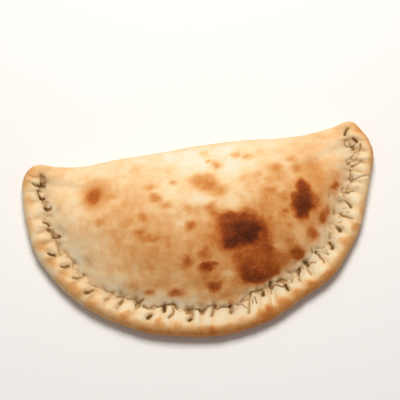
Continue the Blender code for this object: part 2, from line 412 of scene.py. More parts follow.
    (((466.5, 18), (466, 19.5), (465.5, 20.5)), (0.8, 0.9), 1.6, 0.54),
    (((472, 9.5), (469.5, 10.5), (467.5, 12.5), (468, 15), (469, 17)), (1.1, 0.8), 1.8, 0.54),
    (((475, 12.5), (474.5, 14), (473.5, 15), (472.5, 16)), (0.6, 0.6), 1.6, 0.54),
    (((474.5, 15), (476.5, 17), (477.5, 19.5), (479.5, 19.5), (482, 18)), (0.8, 0.6), 1.6, 0.49),
    (((478, 14), (478, 15.5)), (2, 2), 0.8, 0.3), (((480, 12), (478, 11.5), (476, 11)), (0.9, 1.2), 3, 1),
    (((490.5, 8.5), (490, 11), (489, 12.5), (487, 15)), (0.7, 1), 2.8, 0.95),
    # Ridges of dough between them.
    (((19, 4), (18.5, 10), (17, 14)), (1.4, 1.4), -0.8, 0),
    (((60.5, 18), (61, 15), (59.5, 11)), (1.4, 1.8), -0.6, 0),
    (((46, 24), (47.5, 19), (50, 16)), (1.8, 1.5), -0.6, 0),
    (((75, 25), (73.7, 20), (74, 14)), (1.4, 1.8), -0.6, 0),
    (((90.5, 18), (91, 13), (90, 8)), (1.2, 1.4), -0.7, 0),
    (((96, 21), (103, 20), (106, 16), (107, 11)), (1.2, 1.2), -0.6, 0),
    (((134.5, 17.5), (137.8, 12), (137, 7)), (0.9, 1.2), -0.7, 0),
    (((368, 24), (371, 21), (374, 18.5)), (0.9, 0.7), -0.5, 0),
    (((401, 2), (401.5, 8), (403.5, 12)), (1.2, 1.2), -0.5, 0), (((440.3, 3), (440, 11)), (1, 1), -0.4, 0),
    (((444.5, 3), (445, 11), (450, 17)), (1.2, 1.2), -0.6, 0),
    (((459, 5), (460, 11), (463, 14.5)), (1.2, 1.1), -0.7, 0),
))

# Toasted places of the rim, each given as a length along the outline and a distance in from it.
TOASTS = tuple(Patch(*row) for row in (
    ((9, 2.5), (10, 5), 0.52), ((5, 13), (7, 8), 0.42), ((4, 17), (6, 10), 0.36), ((22, 4), (5, 3.5), 0.4),
    ((37, 5.5), (8, 4), 0.38), ((58, 3), (8, 3), 0.36), ((77, 6.5), (5.5, 4.5), 0.48),
    ((94, 7), (5.5, 4.5), 0.48), ((108, 9), (4.5, 4), 0.46), ((113, 2.5), (6, 3), 0.42),
    ((122, 5.5), (6, 4.5), 0.5), ((129, 4.5), (4, 4), 0.5), ((144, 3.5), (4, 3.5), 0.52),
    ((143, 7), (3, 2), 0.36), ((159.5, 2.5), (4, 2.5), 0.38), ((168, 4), (4, 3), 0.44),
    ((171.5, 5.5), (3, 3), 0.62), ((172, 9), (3, 3), 0.45), ((182, 3), (4, 3), 0.44),
    ((198.5, 8), (3, 3), 0.54), ((202, 5), (4, 3), 0.5), ((215, 6), (4, 3), 0.44),
    ((216, 2.5), (4, 3), 0.54), ((239.5, 2.5), (5, 3), 0.55), ((245.5, 2.5), (4, 3), 0.66),
    ((255, 2.5), (5, 3), 0.6), ((259, 3), (3, 3), 0.58), ((269.5, 7), (3, 3), 0.36),
    ((287.5, 4), (4.2, 5), 0.64), ((289.5, 2.5), (4, 2.5), 0.64), ((295.5, 6), (4.5, 4), 0.7),
    ((297, 3), (4, 3), 0.64), ((304, 3), (3.5, 2.5), 0.54), ((308, 5.5), (4.3, 5), 0.62),
    ((309, 2.5), (4, 2.5), 0.6), ((322, 4.5), (4, 5), 0.58), ((336, 5), (4, 4.5), 0.64),
    ((347, 3.5), (4, 2.5), 0.52), ((350.5, 2.5), (6, 3), 0.6), ((383, 6), (4.5, 4.5), 0.53),
    ((383, 10.5), (3, 2), 0.42), ((385, 3), (4, 3), 0.5), ((397, 3.5), (3.5, 3.5), 0.55),
    ((411.5, 2), (5, 2.5), 0.44), ((417, 3.5), (5, 3), 0.36), ((455, 3), (3, 2), 0.42),
    ((471.5, 3), (5, 3), 0.36), ((470, 1), (20, 2), 0.5), ((484, 4), (6, 4), 0.44),
    ((490, 1.5), (9, 3.5), 0.62), ((495, 9.5), (5, 5), 0.4),
))

# The dome's broad shades, from gold at the front and the right to cream by the fold.
SHADES = tuple(Patch(*row, soft=1.0) for row in (
    ((-75, 36), (30, 20), 0.33), ((-60, 12), (34, 24), 0.42), ((-36, -14), (34, 24), 0.53),
    ((0, -14), (28, 26), 0.58), ((-30, -38), (34, 14), 0.46), ((60, 5), (46, 34), 0.52),
    ((78, 34), (38, 16), 0.41), ((20, -46), (40, 12), 0.54), ((0, 57), (46, 14), -0.04),
    ((20, 42), (16, 12), 0.04), ((-20, 30), (20, 13), 0.18), ((50, 62), (30, 10), 0.13),
    ((-22, 6), (14, 10), 0.33), ((-108, 40), (14, 30), 0.18), ((-100, -6), (16, 22), 0.23, 20),
    ((18, 20), (16, 12), 0.2), ((-77, 63), (15, 6), 0.1), ((-98, 49), (8, 8), 0.15),
    ((106, 57), (9, 7), 0.13), ((69, 56), (12, 7), 0.33), ((91, 62), (9, 6), 0.33),
    ((-51, -48), (12, 6), 0.16), ((-21, -52), (9, 6), 0.22), ((10, -58), (16, 6), 0.5),
    ((53, -45), (9, 6), 0.18), ((-110, -8), (7, 8), 0), ((-67, -20), (8, 8), 0.36),
    ((77, -27), (9, 6), 0.44), ((-114, 42), (7, 7), 0.3), ((-112, 66), (8, 7), 0.3),
    ((53, 39), (8, 7), 0.28), ((38, 57), (7, 5), 0.25), ((93, -13), (7, 9), 0.2),
    ((109, 36), (10, 10), 0.46), ((55, 12), (8, 6), 0.62), ((-117, 12), (7, 9), 0.12),
    ((-77, -33), (8, 7), 0.16), ((-33, 52), (14, 8), 0.24), ((53, 63), (6, 4), 0.08),
    ((60, 46), (9, 6), 0.2), ((-22, -8), (6, 6), 0.42), ((-7, -48), (6, 4), 0.54), ((14, 16), (6, 5), 0.36),
    ((104, 27), (5, 4), 0.56),
))

# The dome's scorches and oven spots.
SPOTS = tuple(Patch(*row) for row in (
    # The largest scorch, in the middle.
    ((27, -6), (23.5, 15.5), 0.75, -10, 0.5), ((27, -6), (17.5, 11), 0.91, -14, 0.42),
    ((17, -14), (8, 5), 0.97), ((32, -10), (10, 6.5), 1), ((24, -2), (8, 4.5), 0.97),
    ((15, -7), (4, 3), 0.88), ((17, 4), (8, 4.5), 0.82), ((41, -12), (3, 4), 0.82),
    ((30, 2.5), (5.5, 3), 0.85), ((34, 7), (4, 2.5), 0.68),
    # The scorch in front of it.
    ((35.5, -31), (20.5, 14), 0.73, 0, 0.4), ((35.5, -36.5), (16, 6.5), 0.85, 6, 0.5),
    ((31.5, -41), (9, 4), 0.9), ((46, -35), (6, 4.5), 0.82, 0, 0.6), ((27, -33), (5, 5), 0.86),
    ((43, -22), (7, 8), 0.83), ((28, -25), (12, 4.5), 0.78), ((34, -34.5), (7, 1.2), 0.78, -20),
    ((35, -32), (5, 0.9), 0.78, -20), ((12, -36.5), (5, 3), 0.38), ((54, -19), (5, 2.5), 0.46),
    # The scorch on the right, and the spots round it.
    ((79, 10), (13, 15.5), 0.61, 0, 0.7), ((77.5, 11), (8.5, 10.5), 0.9, -26, 0.48),
    ((78.5, 10.5), (6, 7), 0.97), ((74, 13), (4, 4), 0.95), ((75, 1), (4.8, 3.6), 0.93),
    ((84, 0.5), (3, 4), 0.56), ((76, -3), (4, 3), 0.58), ((85.5, 14.5), (3.5, 4), 0.92),
    ((70.5, 16), (3, 4), 0.8), ((79.5, 26), (5.3, 6.8), 0.86, 0, 0.6), ((81, 20), (4.3, 3.5), 0.88),
    ((82, -12), (5.2, 5.2), 0.73, 0, 0.6), ((67, -26), (7, 5.5), 0.82, 0, 0.5),
    ((92, -0.5), (3.5, 5.5), 0.79, -10), ((95.5, 5.5), (3, 3.5), 0.72), ((106, 25), (5, 3), 0.78, 45),
    ((103, 20), (3, 2), 0.56, 45), ((110, 34), (4, 2.5), 0.58, 60), ((77.5, 40), (4.5, 4), 0.64),
    ((90, 41.5), (6.5, 5), 0.58), ((88, 34), (5, 5.5), 0.54), ((60, 41), (4.5, 4.5), 0.61),
    ((61, 33), (3, 3), 0.53), ((54, 32), (4, 2.5), 0.5), ((73.5, 49), (4, 3), 0.53), ((62, 5), (3, 2), 0.7),
    ((62, 17), (4, 4), 0.64), ((53, 21.5), (4, 3), 0.62), ((58, 19), (4, 2), 0.58),
    ((64, -6), (3, 2.5), 0.67), ((49, 1), (2, 1.5), 0.68),
    # Spots on the right half of the front.
    ((55, -28), (8, 5.5), 0.72), ((57, -12), (7, 5), 0.58, 0, 1), ((88.5, 13.5), (3.5, 4), 0.74),
    ((93, 29), (7, 8), 0.56, 0, 1), ((63, -18), (5, 4), 0.65), ((18, -44), (4, 3), 0.66),
    ((28, -48.5), (5, 3), 0.54), ((3, 22), (5, 4), 0.36), ((28, 17), (4.5, 4.5), 0.4),
    ((-2, -3), (4.5, 3.5), 0.5), ((71, -11), (4, 5), 0.42),
    # Spots on the left half.
    ((4, 14), (3.5, 4.5), 0.63, -20), ((7, 8.5), (3.5, 3.5), 0.68), ((-13, 1.5), (4.5, 3.6), 0.68),
    ((-19, -24), (4, 4.5), 0.75), ((-5.5, -20.5), (4.5, 3.5), 0.71), ((-5, -30), (6, 4), 0.84, 0, 0.6),
    ((0.5, -28), (3.5, 1.5), 0.8), ((-6, -36.5), (3, 3), 0.67), ((-1, -44), (6, 4.2), 0.83, 0, 0.6),
    ((1, -38), (3, 3), 0.64), ((-31.5, -44.5), (6.5, 3.5), 0.71, 0, 0.6), ((-51, -41), (4, 3), 0.68),
    ((-63, -35), (4, 2.5), 0.56), ((-52, 2.5), (4, 3), 0.68), ((-46, -3), (8, 2.5), 0.66, -6),
    ((-49, 13), (3.5, 3.5), 0.64), ((-60, 12), (3, 3), 0.58), ((-32, -5), (3, 2), 0.6),
    ((-15, -14), (3, 3), 0.6), ((-13, 14), (3, 4), 0.5), ((-29, 20), (5, 3), 0.53),
    ((-37, 27), (4.5, 3.5), 0.62, -20), ((-40, 37.5), (5, 3), 0.57), ((-22, 38), (2.5, 2), 0.56),
    ((-83, 41), (12, 13), 0.52, 0, 0.6), ((-85, 39.5), (6.5, 7), 0.76, 0, 0.75), ((-72, 36), (5, 3), 0.55),
    ((-83, 16), (2.5, 3), 0.59), ((-79, 16), (1.5, 3), 0.55), ((-60, 27), (4, 3), 0.5),
    ((-67, 22), (4, 2.5), 0.48), ((-49, 54), (4, 7), 0.36),
    # Spots by the fold.
    ((1, 37), (11, 5.5), 0.6), ((5, 31), (8, 6), 0.64), ((14, 26.5), (5.5, 4.5), 0.57),
    ((14.5, 48.5), (3.5, 4), 0.57), ((9, 53), (3, 2), 0.44), ((30, 56), (3, 3), 0.47),
    ((39, 53), (3.5, 3), 0.5), ((49, 58), (3, 3), 0.33), ((33, 34), (3, 3.5), 0.42),
    ((45, 36.5), (3.5, 2.5), 0.5), ((6, 61), (4, 4), 0.28), ((92, 58), (7, 5), 0.36),
    ((22, 16), (5, 5), 0.2), ((-3, 21), (8, 4), 0.1), ((24, 64), (6, 4), 0),
))


@dataclass(frozen=True)
class Points:
    """Where the crust's points lie, with one value for each point.  Lengths are in millimetres."""

    along: Array  # length along the outline
    distance: Array  # distance in from the outline
    turn: Array  # turn of the edge's section, in radians
    folded: Array  # 0 on the pleated front and 1 on the fold
    from_tip: Array  # how far the nearer tip is along the front
    lip: Array  # how far in the lip reaches
    on_side: Array  # 1 where the front is seen from above, outer side included
    on_top: Array  # 1 on top of the front: the roll's top, and all that is further in

    @property
    def front(self) -> Array:
        """1 on the pleated front and 0 on the fold."""
        return 1 - self.folded

    @property
    def from_lip(self) -> Array:
        """How far past the lip each point is."""
        return self.distance - self.lip


@dataclass(frozen=True)
class PleatedRim:
    """The roll of the rim.  Lengths are in millimetres and turns in radians."""

    # Its width at even steps of the front run, from tip to tip.
    widths: tuple[float, ...] = (
        13, 20, 19, 19, 20.5, 18, 17.5, 20, 20.5, 21, 20, 21.5, 21.5, 20, 18.5, 20.5, 20, 19.5, 18, 14.5,
    )
    # The lip's line, where the roll meets the dome, as (length along, distance in).
    lip: tuple[Place, ...] = (
        (0, 14), (12, 14), (19, 18.3), (26, 16), (33, 16.7), (41, 22.6), (48, 19.3), (55, 19.5), (64, 17.5),
        (71, 21.5), (80, 20), (88, 20), (92, 22.5), (97, 23), (104, 21), (112, 17.5), (116, 20), (126, 17.5),
        (139, 18.5), (146, 20), (150, 19.8), (153, 18.8), (158, 21), (165, 20.7), (171, 21), (174, 18.6),
        (178, 20), (181, 18.5), (184, 18.5), (188, 20.2), (198, 21.5), (203, 23.7), (207, 23.8), (211, 21.3),
        (219, 20.5), (225, 19.7), (232, 20.2), (235.5, 17.3), (239, 20.5), (242, 22.8), (246, 23.3),
        (251, 21.6), (255, 22.3), (263, 21.5), (265, 18), (272, 19.5), (279, 22.5), (290, 25.2), (298, 24.3),
        (306, 23.5), (315, 22), (320, 22.5), (325, 20), (327.5, 17), (333, 20), (342, 21.6), (348, 23.5),
        (358, 22.6), (366, 22.4), (372, 18.6), (380, 17.4), (387, 20.7), (397, 22.7), (411, 20.9),
        (423, 20.1), (430, 22.6), (435, 21), (441, 18.3), (451, 20.1), (463, 22.9), (472, 15.2), (484, 17),
        (491, 11), (496, 14),
    )
    crest: float = 0.40  # the crest's distance in, as a share of the roll's width
    height: float = 16.6  # the crest's height
    seam: float = 10.4  # the height of the valley behind the lip
    lip_drop: float = 1.5  # how far under that the roll itself would end
    squareness: float = 2.6  # the power of the superellipse from the crest to the lip
    tip_drop: float = 2.0  # how far under the crest the dough lies where it runs out flat at each tip
    tip_seam: Step = (20.0, 9.0)  # where, from the tip, the valley is filled up to that height
    tip_roll: Step = (6.0, 20.0)  # where the roll begins to slope down behind its crest
    sharp: Stretch = (80.0, 90.0, 350.0, 364.0)  # where along the front the lip stands off the dome
    sharp_valley: float = 0.6  # how far the roll and the dome round off into each other there
    soft_valley: float = 5.0  # how far they do elsewhere
    side_turn: float = 0.3  # the turn over which the outer side counts as seen from above
    top_turn: float = 1.0  # the turn from which the roll's top begins

    def width(self, moon: HalfMoon, along: Array) -> Array:
        """The roll's width, running evenly between the given steps."""
        return np.interp(along / moon.front_length, np.linspace(0, 1, len(self.widths)), self.widths)


@dataclass(frozen=True)
class Pleats:
    """The pleats pinched into the roll.  Lengths are in millimetres and turns in radians."""

    # Where one pleat ends and the next begins, along the front run.
    pinches: tuple[float, ...] = (
        14, 27, 36.5, 51, 64, 74, 89, 104, 118, 137, 149.5, 161, 176, 190, 200, 208, 227, 236, 246, 263, 280,
        291, 301, 307, 319.5, 334, 346, 363, 377, 394, 406, 419, 432, 441, 450, 459, 470, 480, 491,
    )
    # How far they lean along the outline for each step in, as (length along, lean).
    slants: tuple[Place, ...] = ((0, -0.3), (210, -0.3), (235, 0), (275, 0.55), (496, 0.65))
    slant_at: float = 14.0  # the distance in at which the pinches are measured
    floor: float = 0.05  # what keeps a pinch from being a knife's edge
    fullness: float = 0.4  # how full the pleats' backs are; the less, the fuller
    level: float = 0.75  # the wave where it neither lifts nor lowers the roll
    rise: float = 1.9  # how much they lift the roll by the lip
    rise_in: Step = (3.0, 9.0)  # where that lift sets in, from the outline
    rise_out: float = 5.0  # how far past the lip it runs out
    outer_rise: float = 0.6  # how much they lift the roll's outer side
    outer_turn: Step = (-0.6, 0.9)  # the turns between which that lift sets in
    outer_in: Step = (9.0, 3.0)  # where it runs out again, from the outline
    streaks: Lumps = Lumps(25, 2.4)  # the fine lines along them, measured across
    streak_length: float = 5.0  # how many times as long as wide those are
    streak_rise: float = 0.14  # how high they stand
    # How dark the painted shade is in the pinches between the pleats, as (length along, shade).
    shaded: tuple[Place, ...] = (
        (0, 0), (10, 0.1), (40, 0.14), (65, 0.24), (80, 0.32), (95, 0.32), (108, 0.2), (130, 0.24),
        (155, 0.14), (200, 0.04), (280, 0.06), (310, 0.14), (335, 0.08), (400, 0.08), (430, 0.12),
        (447, 0.22), (460, 0.36), (475, 0.26), (488, 0.06), (496, 0),
    )
    shaded_depth: Step = (-0.05, 0.42)  # how deep in the wave that shade sets in and is whole
    shaded_out: Step = (2.0, -3.0)  # where it runs out, from the lip

    def leaning(self, points: Points) -> Array:
        """The length along at which a pleat's slanted line through each point crosses the roll's middle."""
        return points.along - table(self.slants, points.along) * (points.distance - self.slant_at)

    def streaked(self, points: Points) -> Array:
        """Fine lines that run along the pleats, about -1 to 1: lumps that are drawn out."""
        across = self.leaning(points)
        return self.streaks.at(np.column_stack([across, points.distance / self.streak_length, 0 * across]))

    def wave(self, points: Points) -> Array:
        """Below 0 in the pinch between two pleats and above on a pleat's back, like a row of soft pillows.

        Args:
            points: the crust's points.

        Returns:
            (sin(pi u)^2 + floor)^fullness - level, where u runs by one from pinch to pinch along the
            slanted pleats.
        """
        turn = np.interp(self.leaning(points), self.pinches, np.arange(len(self.pinches)))
        return (np.sin(math.pi * turn) ** 2 + self.floor) ** self.fullness - self.level

    def lift(self, points: Points) -> Array:
        """How far the pleats' wave and their fine lines lift the roll, by the lip and on its outer side.

        Args:
            points: the crust's points.

        Returns:
            One height for each point, in millimetres.
        """
        distance, lip = points.distance, points.lip
        by_lip = ease(distance, *self.rise_in) * ease(distance, lip + self.rise_out, lip)
        outer = self.outer_rise * ease(points.turn, *self.outer_turn) * ease(distance, *self.outer_in)
        lift = points.front * self.wave(points) * (self.rise * by_lip * (points.turn >= 0) + outer)
        return lift + self.streak_rise * points.on_top * self.streaked(points) * by_lip

    def shade(self, points: Points) -> Array:
        """How dark the painted shade in the pinches is: most in their depth, and not past the lip.

        Args:
            points: the crust's points.

        Returns:
            One shade for each point, from 0 to 1.
        """
        start, end = self.shaded_out
        depth = ease(-self.wave(points), *self.shaded_depth) * ease(points.distance, *self.rise_in)
        depth *= ease(points.distance, points.lip + start, points.lip + end)
        return depth * table(self.shaded, points.along)


@dataclass(frozen=True)
class Valley:
    """The painted shade of the valley by the lip, with lengths in millimetres."""

    before_lip: float = 2.0  # how far before the lip it is darkest
    width: float = 4.5  # how far it spreads
    dark: float = 0.17  # how dark it is
    paler: float = 0.1  # how much less it is so along the middle of the front
    middle: Stretch = (150.0, 165.0, 228.0, 240.0)  # the stretch that is the middle
    lumps: Lumps = Lumps(41, 8.0, 0.5)  # how uneven it is

    def shade(self, points: Points, shape: Array) -> Array:
        """Painted shade: a bell along the lip, paler along the middle of the front."""
        valley = bell(points.from_lip + self.before_lip, self.width) * (1 + self.lumps.at(shape))
        return valley * (self.dark - self.paler * plateau(points.along, *self.middle))


@dataclass(frozen=True)
class Dome:
    """The filled dome and the folded back edge, in millimetres."""

    height: float = 45.0  # the top of the dome
    reach: float = 95.0  # how far in from the seam the dome is level
    power: float = 2.2  # how fast it levels out on the way
    outside: float = 0.2  # how far it may run on straight outside the seam, as a share of the reach
    tip_run: int = 12  # how far the seam runs on past each tip
    tip_seam: int = 14  # how long a part of the seam, on the front, counts as the tip's
    # How far the tips' seam and the front's round off into each other, as a share of how far they are.
    tip_blend: float = 0.9
    blend_range: tuple[float, float] = (0.1, 36.0)  # the least and the greatest of that
    foot: float = 13.0  # the height that the dome rises from along the fold
    edge: float = 9.0  # the height where the fold stands furthest back
    edge_round: float = 5.0  # how far in the fold rounds over from there
    edge_shift: float = 0.5  # how much further back the fold stands than its outline
    shift_in: Step = (12.0, 0.0)  # where that runs out, in from the fold
    tuck: float = 16.0  # how far the fold stands over the flat underside
    fold_reach: float = 60.0  # how far in from the fold the dome is level
    fold_power: float = 1.9  # the power of the superellipse over the fold

    def over_seam(self, distance: Array) -> Array:
        """0 at the seam and 1 at the reach: 1 - (1 - t)^power.  It runs on straight outside the seam."""
        return 1 - np.clip(1 - distance / self.reach, 0, 1 + self.outside) ** self.power

    def over_fold(self, distance: Array) -> Array:
        """0 at the fold and 1 at its reach, steep at first: a superellipse."""
        share = np.clip(1 - distance / self.fold_reach, 0, 1)
        return (1 - share**self.fold_power) ** (1 / self.fold_power)

    def over_edge(self, distance: Array) -> Array:
        """0 at the fold and 1 where its edge is rounded over: a quarter of a circle."""
        return np.sqrt(1 - np.clip(1 - distance / self.edge_round, 0, 1) ** 2)


@dataclass(frozen=True)
class Settling:
    """How the dough is settled round each tip, where the roll is pressed flat, in millimetres."""

    passes: int = 60  # how many times it is
    pull: float = 0.7  # how far each pass draws a height towards the line between its neighbours
    front: Step = (15.0, 7.0)  # where it runs out along the front, from the tip
    fold: Step = (34.0, 22.0)  # where it runs out along the fold
    edge: Step = (4.0, 9.0)  # where it sets in from the edge
    fold_haste: float = 2.2  # how many times sooner it does so along the fold
    inner: Step = (-1.0, -5.0)  # where it runs out again, from the last of the full rows


@dataclass(frozen=True)
class Pressing:
    """How a crease presses the dough, and the shade painted into it.  Widths without a unit are shares of
    half its own width.
    """

    cut: float = 1.6  # how far its cut reaches from its line
    cut_power: float = 1.2  # how hollow the sides of the cut are
    hollow: float = 2.4  # how far the softer hollow round it reaches
    hollow_share: float = 0.3  # how much of the depth is the hollow's
    full: float = 0.75  # how much of the stated depth is reached
    ridge: float = 1.3  # how far a ridge reaches
    taper: float = 0.6  # the power with which it runs out where it gets narrow
    dark: Step = (0.0, 0.9)  # where, on the way down, the cut's painted shade sets in
    soft_shade: float = 0.2  # how much of its painted shade is soft and drawn back, if it is narrow
    wide_soft_shade: float = 0.24  # how much more that is if it is wide
    wide: Step = (0.8, 1.4)  # half the width of a narrow and of a wide one, in millimetres
    drawn: float = 1.1  # how far towards the back the soft painted shade is drawn, in millimetres
    inward: float = 38.0  # how far in from the outline there are creases, in millimetres
    margin: float = 7.0  # how far along the outline a crease can be felt, in millimetres

    def beside(self, moon: HalfMoon, plan: Array, crease: Crease) -> tuple[Array, Array]:
        """How far each point is from a crease's line, and half of the crease's width there.

        Args:
            moon: the outline.
            plan: the points seen from above.
            crease: the crease.

        Returns:
            The distances and the half widths.
        """
        corners = np.array(crease.path, float)
        path = moon.inward(corners[:, 0], corners[:, 1])
        runs = np.diff(path, axis=0)
        lengths = np.linalg.norm(runs, axis=1)
        starts = np.concatenate([[0], np.cumsum(lengths)])
        gap = np.full(len(plan), np.inf)
        share = np.zeros(len(plan))
        for start, run, length, before in zip(path, runs, lengths, starts):
            away = plan - start
            step = np.clip(away @ run / length**2, 0, 1)
            here = np.linalg.norm(away - step[:, None] * run, axis=1)
            closer = here < gap
            gap = np.where(closer, here, gap)
            share = np.where(closer, (before + step * length) / starts[-1], share)
        first, last = crease.halves
        return gap, first + (last - first) * share

    def press(self, moon: HalfMoon, plan: Array, crease: Crease) -> tuple[Array, Array]:
        """How one crease moves the dough, and the shade painted into it.

        A groove is a cone-like cut with a softer hollow round it, and a ridge is a bell as high as its
        depth.  Either runs out where it gets narrow.  The painted shade of a groove is drawn out a little
        towards the back, where its back wall faces away from the lamp and lies in shade.

        Args:
            moon: the outline.
            plan: the points seen from above.
            crease: the crease.

        Returns:
            How far each point moves out, and how dark its painted shade is.
        """
        gap, half = self.beside(moon, plan, crease)
        widest = max(crease.halves)
        strength = (half / widest) ** self.taper
        if crease.depth < 0:
            return -crease.depth * strength * bell(gap, self.ridge * half), np.zeros(len(plan))
        inside = np.clip(1 - gap / (self.cut * half), 0, 1)
        cut = (1 - self.hollow_share) * inside**self.cut_power
        cut += self.hollow_share * bell(gap, self.hollow * half)
        # Painted shade: dark down the cut, with a soft part drawn towards the shaded back wall.
        drawn, drawn_half = self.beside(moon, plan - np.array((0.0, self.drawn)), crease)
        soft_shade = self.soft_shade + self.wide_soft_shade * ease(widest, *self.wide)
        shade = (1 - soft_shade) * ease(inside, *self.dark) + soft_shade * bell(drawn, self.hollow * drawn_half)
        return -self.full * crease.depth * strength * cut, crease.shade * strength * shade

    def press_all(self, moon: HalfMoon, points: Points, plan: Array) -> tuple[Array, Array]:
        """Presses every crease into the rim: the deepest groove counts, and a ridge lies on top of it.

        Args:
            moon: the outline.
            points: the crust's points.
            plan: the points seen from above.

        Returns:
            How far each point moves out, in millimetres, and how dark its painted shade is, from 0 to 1.
        """
        along = points.along
        on_rim = (points.distance < self.inward) & (points.on_side > 0) & (along < moon.front_length)
        near = np.flatnonzero(on_rim)
        move, dark = np.zeros(len(plan)), np.zeros(len(plan))
        for crease in CREASES:
            lengths = [corner[0] for corner in crease.path]
            first, last = min(lengths) - self.margin, max(lengths) + self.margin
            here = near[(along[near] > first) & (along[near] < last)]
            moved, shade = self.press(moon, plan[here], crease)
            move[here] = np.where(moved < 0, np.minimum(move[here], moved), move[here] + moved)
            dark[here] = np.maximum(dark[here], shade)
        return move, dark


@dataclass(frozen=True)
class Dough:
    """How uneven the dough is, in millimetres."""

    swells: Lumps = Lumps(11, 34.0, 0.8)  # its broad swells
    dents: Lumps = Lumps(12, 14.0, 0.3)
    blisters: Lumps = Lumps(13, 4.0, 0.08)  # its fine blisters
    lifted: Step = (0.2, 5.0)  # the heights between which these set in, so that the underside stays flat
    wrinkles: Lumps = Lumps(14, 8.0, 0.3)  # its wrinkles on the slope behind the lip
    slope_in: float = 4.0  # how far past the lip those are whole
    slope_out: Step = (75.0, 35.0)  # where they run out, in from the outline

    def lumps(self, points: Points, shape: Array) -> Array:
        """The height of all the lumps, in millimetres.

        Args:
            points: the crust's points.
            shape: their places.

        Returns:
            One height for each point.
        """
        everywhere = self.swells.at(shape) + self.dents.at(shape) + self.blisters.at(shape)
        slope = points.on_top * ease(points.distance, points.lip, points.lip + self.slope_in)
        slope *= ease(points.distance, *self.slope_out)
        return ease(shape[:, 2], *self.lifted) * everywhere + slope * self.wrinkles.at(shape)


@dataclass(frozen=True)
class Oven:
    """How brown the oven makes the crust, from 0, floury, to 1, charred, with painted light and shade on the
    roll.  Lengths are in millimetres.
    """

    dome: float = 0.29  # the dome's tone without its patches
    dome_mottle: tuple[Lumps, ...] = (Lumps(21, 11.0, 0.11), Lumps(23, 5.0, 0.07))  # how uneven it is
    # How ragged the spots' edges are, to the side and to the back.
    ragged: tuple[tuple[Lumps, ...], ...] = (
        (Lumps(31, 7.0, 1.6), Lumps(33, 2.8, 0.7)),
        (Lumps(32, 7.0, 1.6), Lumps(34, 2.8, 0.7)),
    )
    rim: float = 0.15  # the roll's tone
    rim_mottle: tuple[Lumps, ...] = (Lumps(22, 10.0, 0.05), Lumps(24, 4.0, 0.06))  # how uneven it is
    rim_ragged: float = 0.6  # how ragged its toasted places are, as a share of the dome's spots
    sole: float = 0.22  # the underside's tone
    # How much browner the roll's lowest edge is than its crest, as (length along, tone): real browning,
    # with painted shade along the front's lower edge and painted light, a paler edge, along the left side.
    browned_and_painted_light: tuple[Place, ...] = (
        (0, 0.2), (30, 0.03), (60, -0.06), (110, -0.02), (135, 0.15), (160, 0.33), (190, 0.44), (275, 0.46),
        (290, 0.4), (350, 0.4), (380, 0.28), (410, 0.1), (440, 0.16), (470, 0.24), (496, 0.3),
    )
    browned_and_painted_light_in: Step = (9.5, 1.0)  # where that runs out, in from the outline
    # How much browner the whole roll is, as (length along, tone): partly painted shade, where the pleats
    # lie in shadow on the left side, and paler where the crest is floury.
    tanned_and_painted_shade: tuple[Place, ...] = (
        (0, 0), (50, 0.03), (70, 0.06), (150, 0.06), (165, 0.01), (205, -0.04), (275, -0.04), (290, 0.01),
        (330, 0), (350, -0.02), (375, -0.04), (390, 0), (430, 0), (465, 0.03), (480, 0.03), (490, 0),
    )
    tanned_and_painted_shade_in: Step = (4.0, 9.0)  # where that sets in
    streak: float = 0.06  # how brown the fine lines along the pleats are
    pinch: float = 0.14  # how much browner a pinch is than a pleat's back
    pleat_in: Step = (2.0, 8.0)  # where these two set in
    over_lip: Step = (0.0, 5.0)  # how far past the lip the dome's tone takes over
    over_fold: Step = (-0.6, 0.2)  # the turns between which it does along the fold, in radians

    @staticmethod
    def patched(tone: Array, places: Array, patches: tuple[Patch, ...]) -> Array:
        """Bakes the patches into the crust, one after another.

        Args:
            tone: how brown the crust is so far.
            places: an (n, 2) array, in the plane that the patches are given in.
            patches: the patches.

        Returns:
            How brown it is then: the patch's own tone in its middle, and less and less of it outwards.
        """
        for patch in patches:
            angle = math.radians(patch.turn)
            away = places - np.array(patch.at)
            length = away[:, 0] * math.cos(angle) + away[:, 1] * math.sin(angle)
            across = away[:, 1] * math.cos(angle) - away[:, 0] * math.sin(angle)
            reach = np.hypot(length / patch.size[0], across / patch.size[1])
            tone = tone + (patch.bake - tone) * ease(reach, 1 + patch.soft, 1 - patch.soft)
        return tone

    def bake(self, points: Points, shape: Array, pleats: Pleats) -> Array:
        """How brown each point is.

        Args:
            points: the crust's points.
            shape: their places.
            pleats: the pleats.

        Returns:
            One tone for each point: the dome's past the lip and over the fold, the roll's on the rim, and
            the sole's underneath.
        """
        along, distance = points.along, points.distance
        ragged = np.column_stack([sum(layer.at(shape) for layer in way) for way in self.ragged])
        mottle = sum(layer.at(shape) for layer in self.dome_mottle)
        dome = self.patched(np.full(len(shape), self.dome), shape[:, :2], SHADES) + mottle
        dome = self.patched(dome, shape[:, :2] + ragged, SPOTS)

        roll = self.rim + sum(layer.at(shape) for layer in self.rim_mottle)
        # The lowest edge: browning, with painted shade along the front and painted light at the left.
        roll += table(self.browned_and_painted_light, along) * ease(distance, *self.browned_and_painted_light_in)
        # Partly painted shade of the pleats' valleys.
        roll += table(self.tanned_and_painted_shade, along) * ease(distance, *self.tanned_and_painted_shade_in)
        pleat = self.streak * pleats.streaked(points) - self.pinch * pleats.wave(points)
        roll += pleat * ease(distance, *self.pleat_in)
        roll = self.patched(roll, np.column_stack([along, distance]) + self.rim_ragged * ragged, TOASTS)

        on_dome = ease(points.from_lip, *self.over_lip) * points.on_top
        on_dome += ease(points.turn, *self.over_fold) * (1 - points.front)
        on_rim = points.front * (1 - on_dome)
        return np.clip(dome * on_dome + roll * on_rim + self.sole * (1 - on_dome - on_rim), 0, 1)


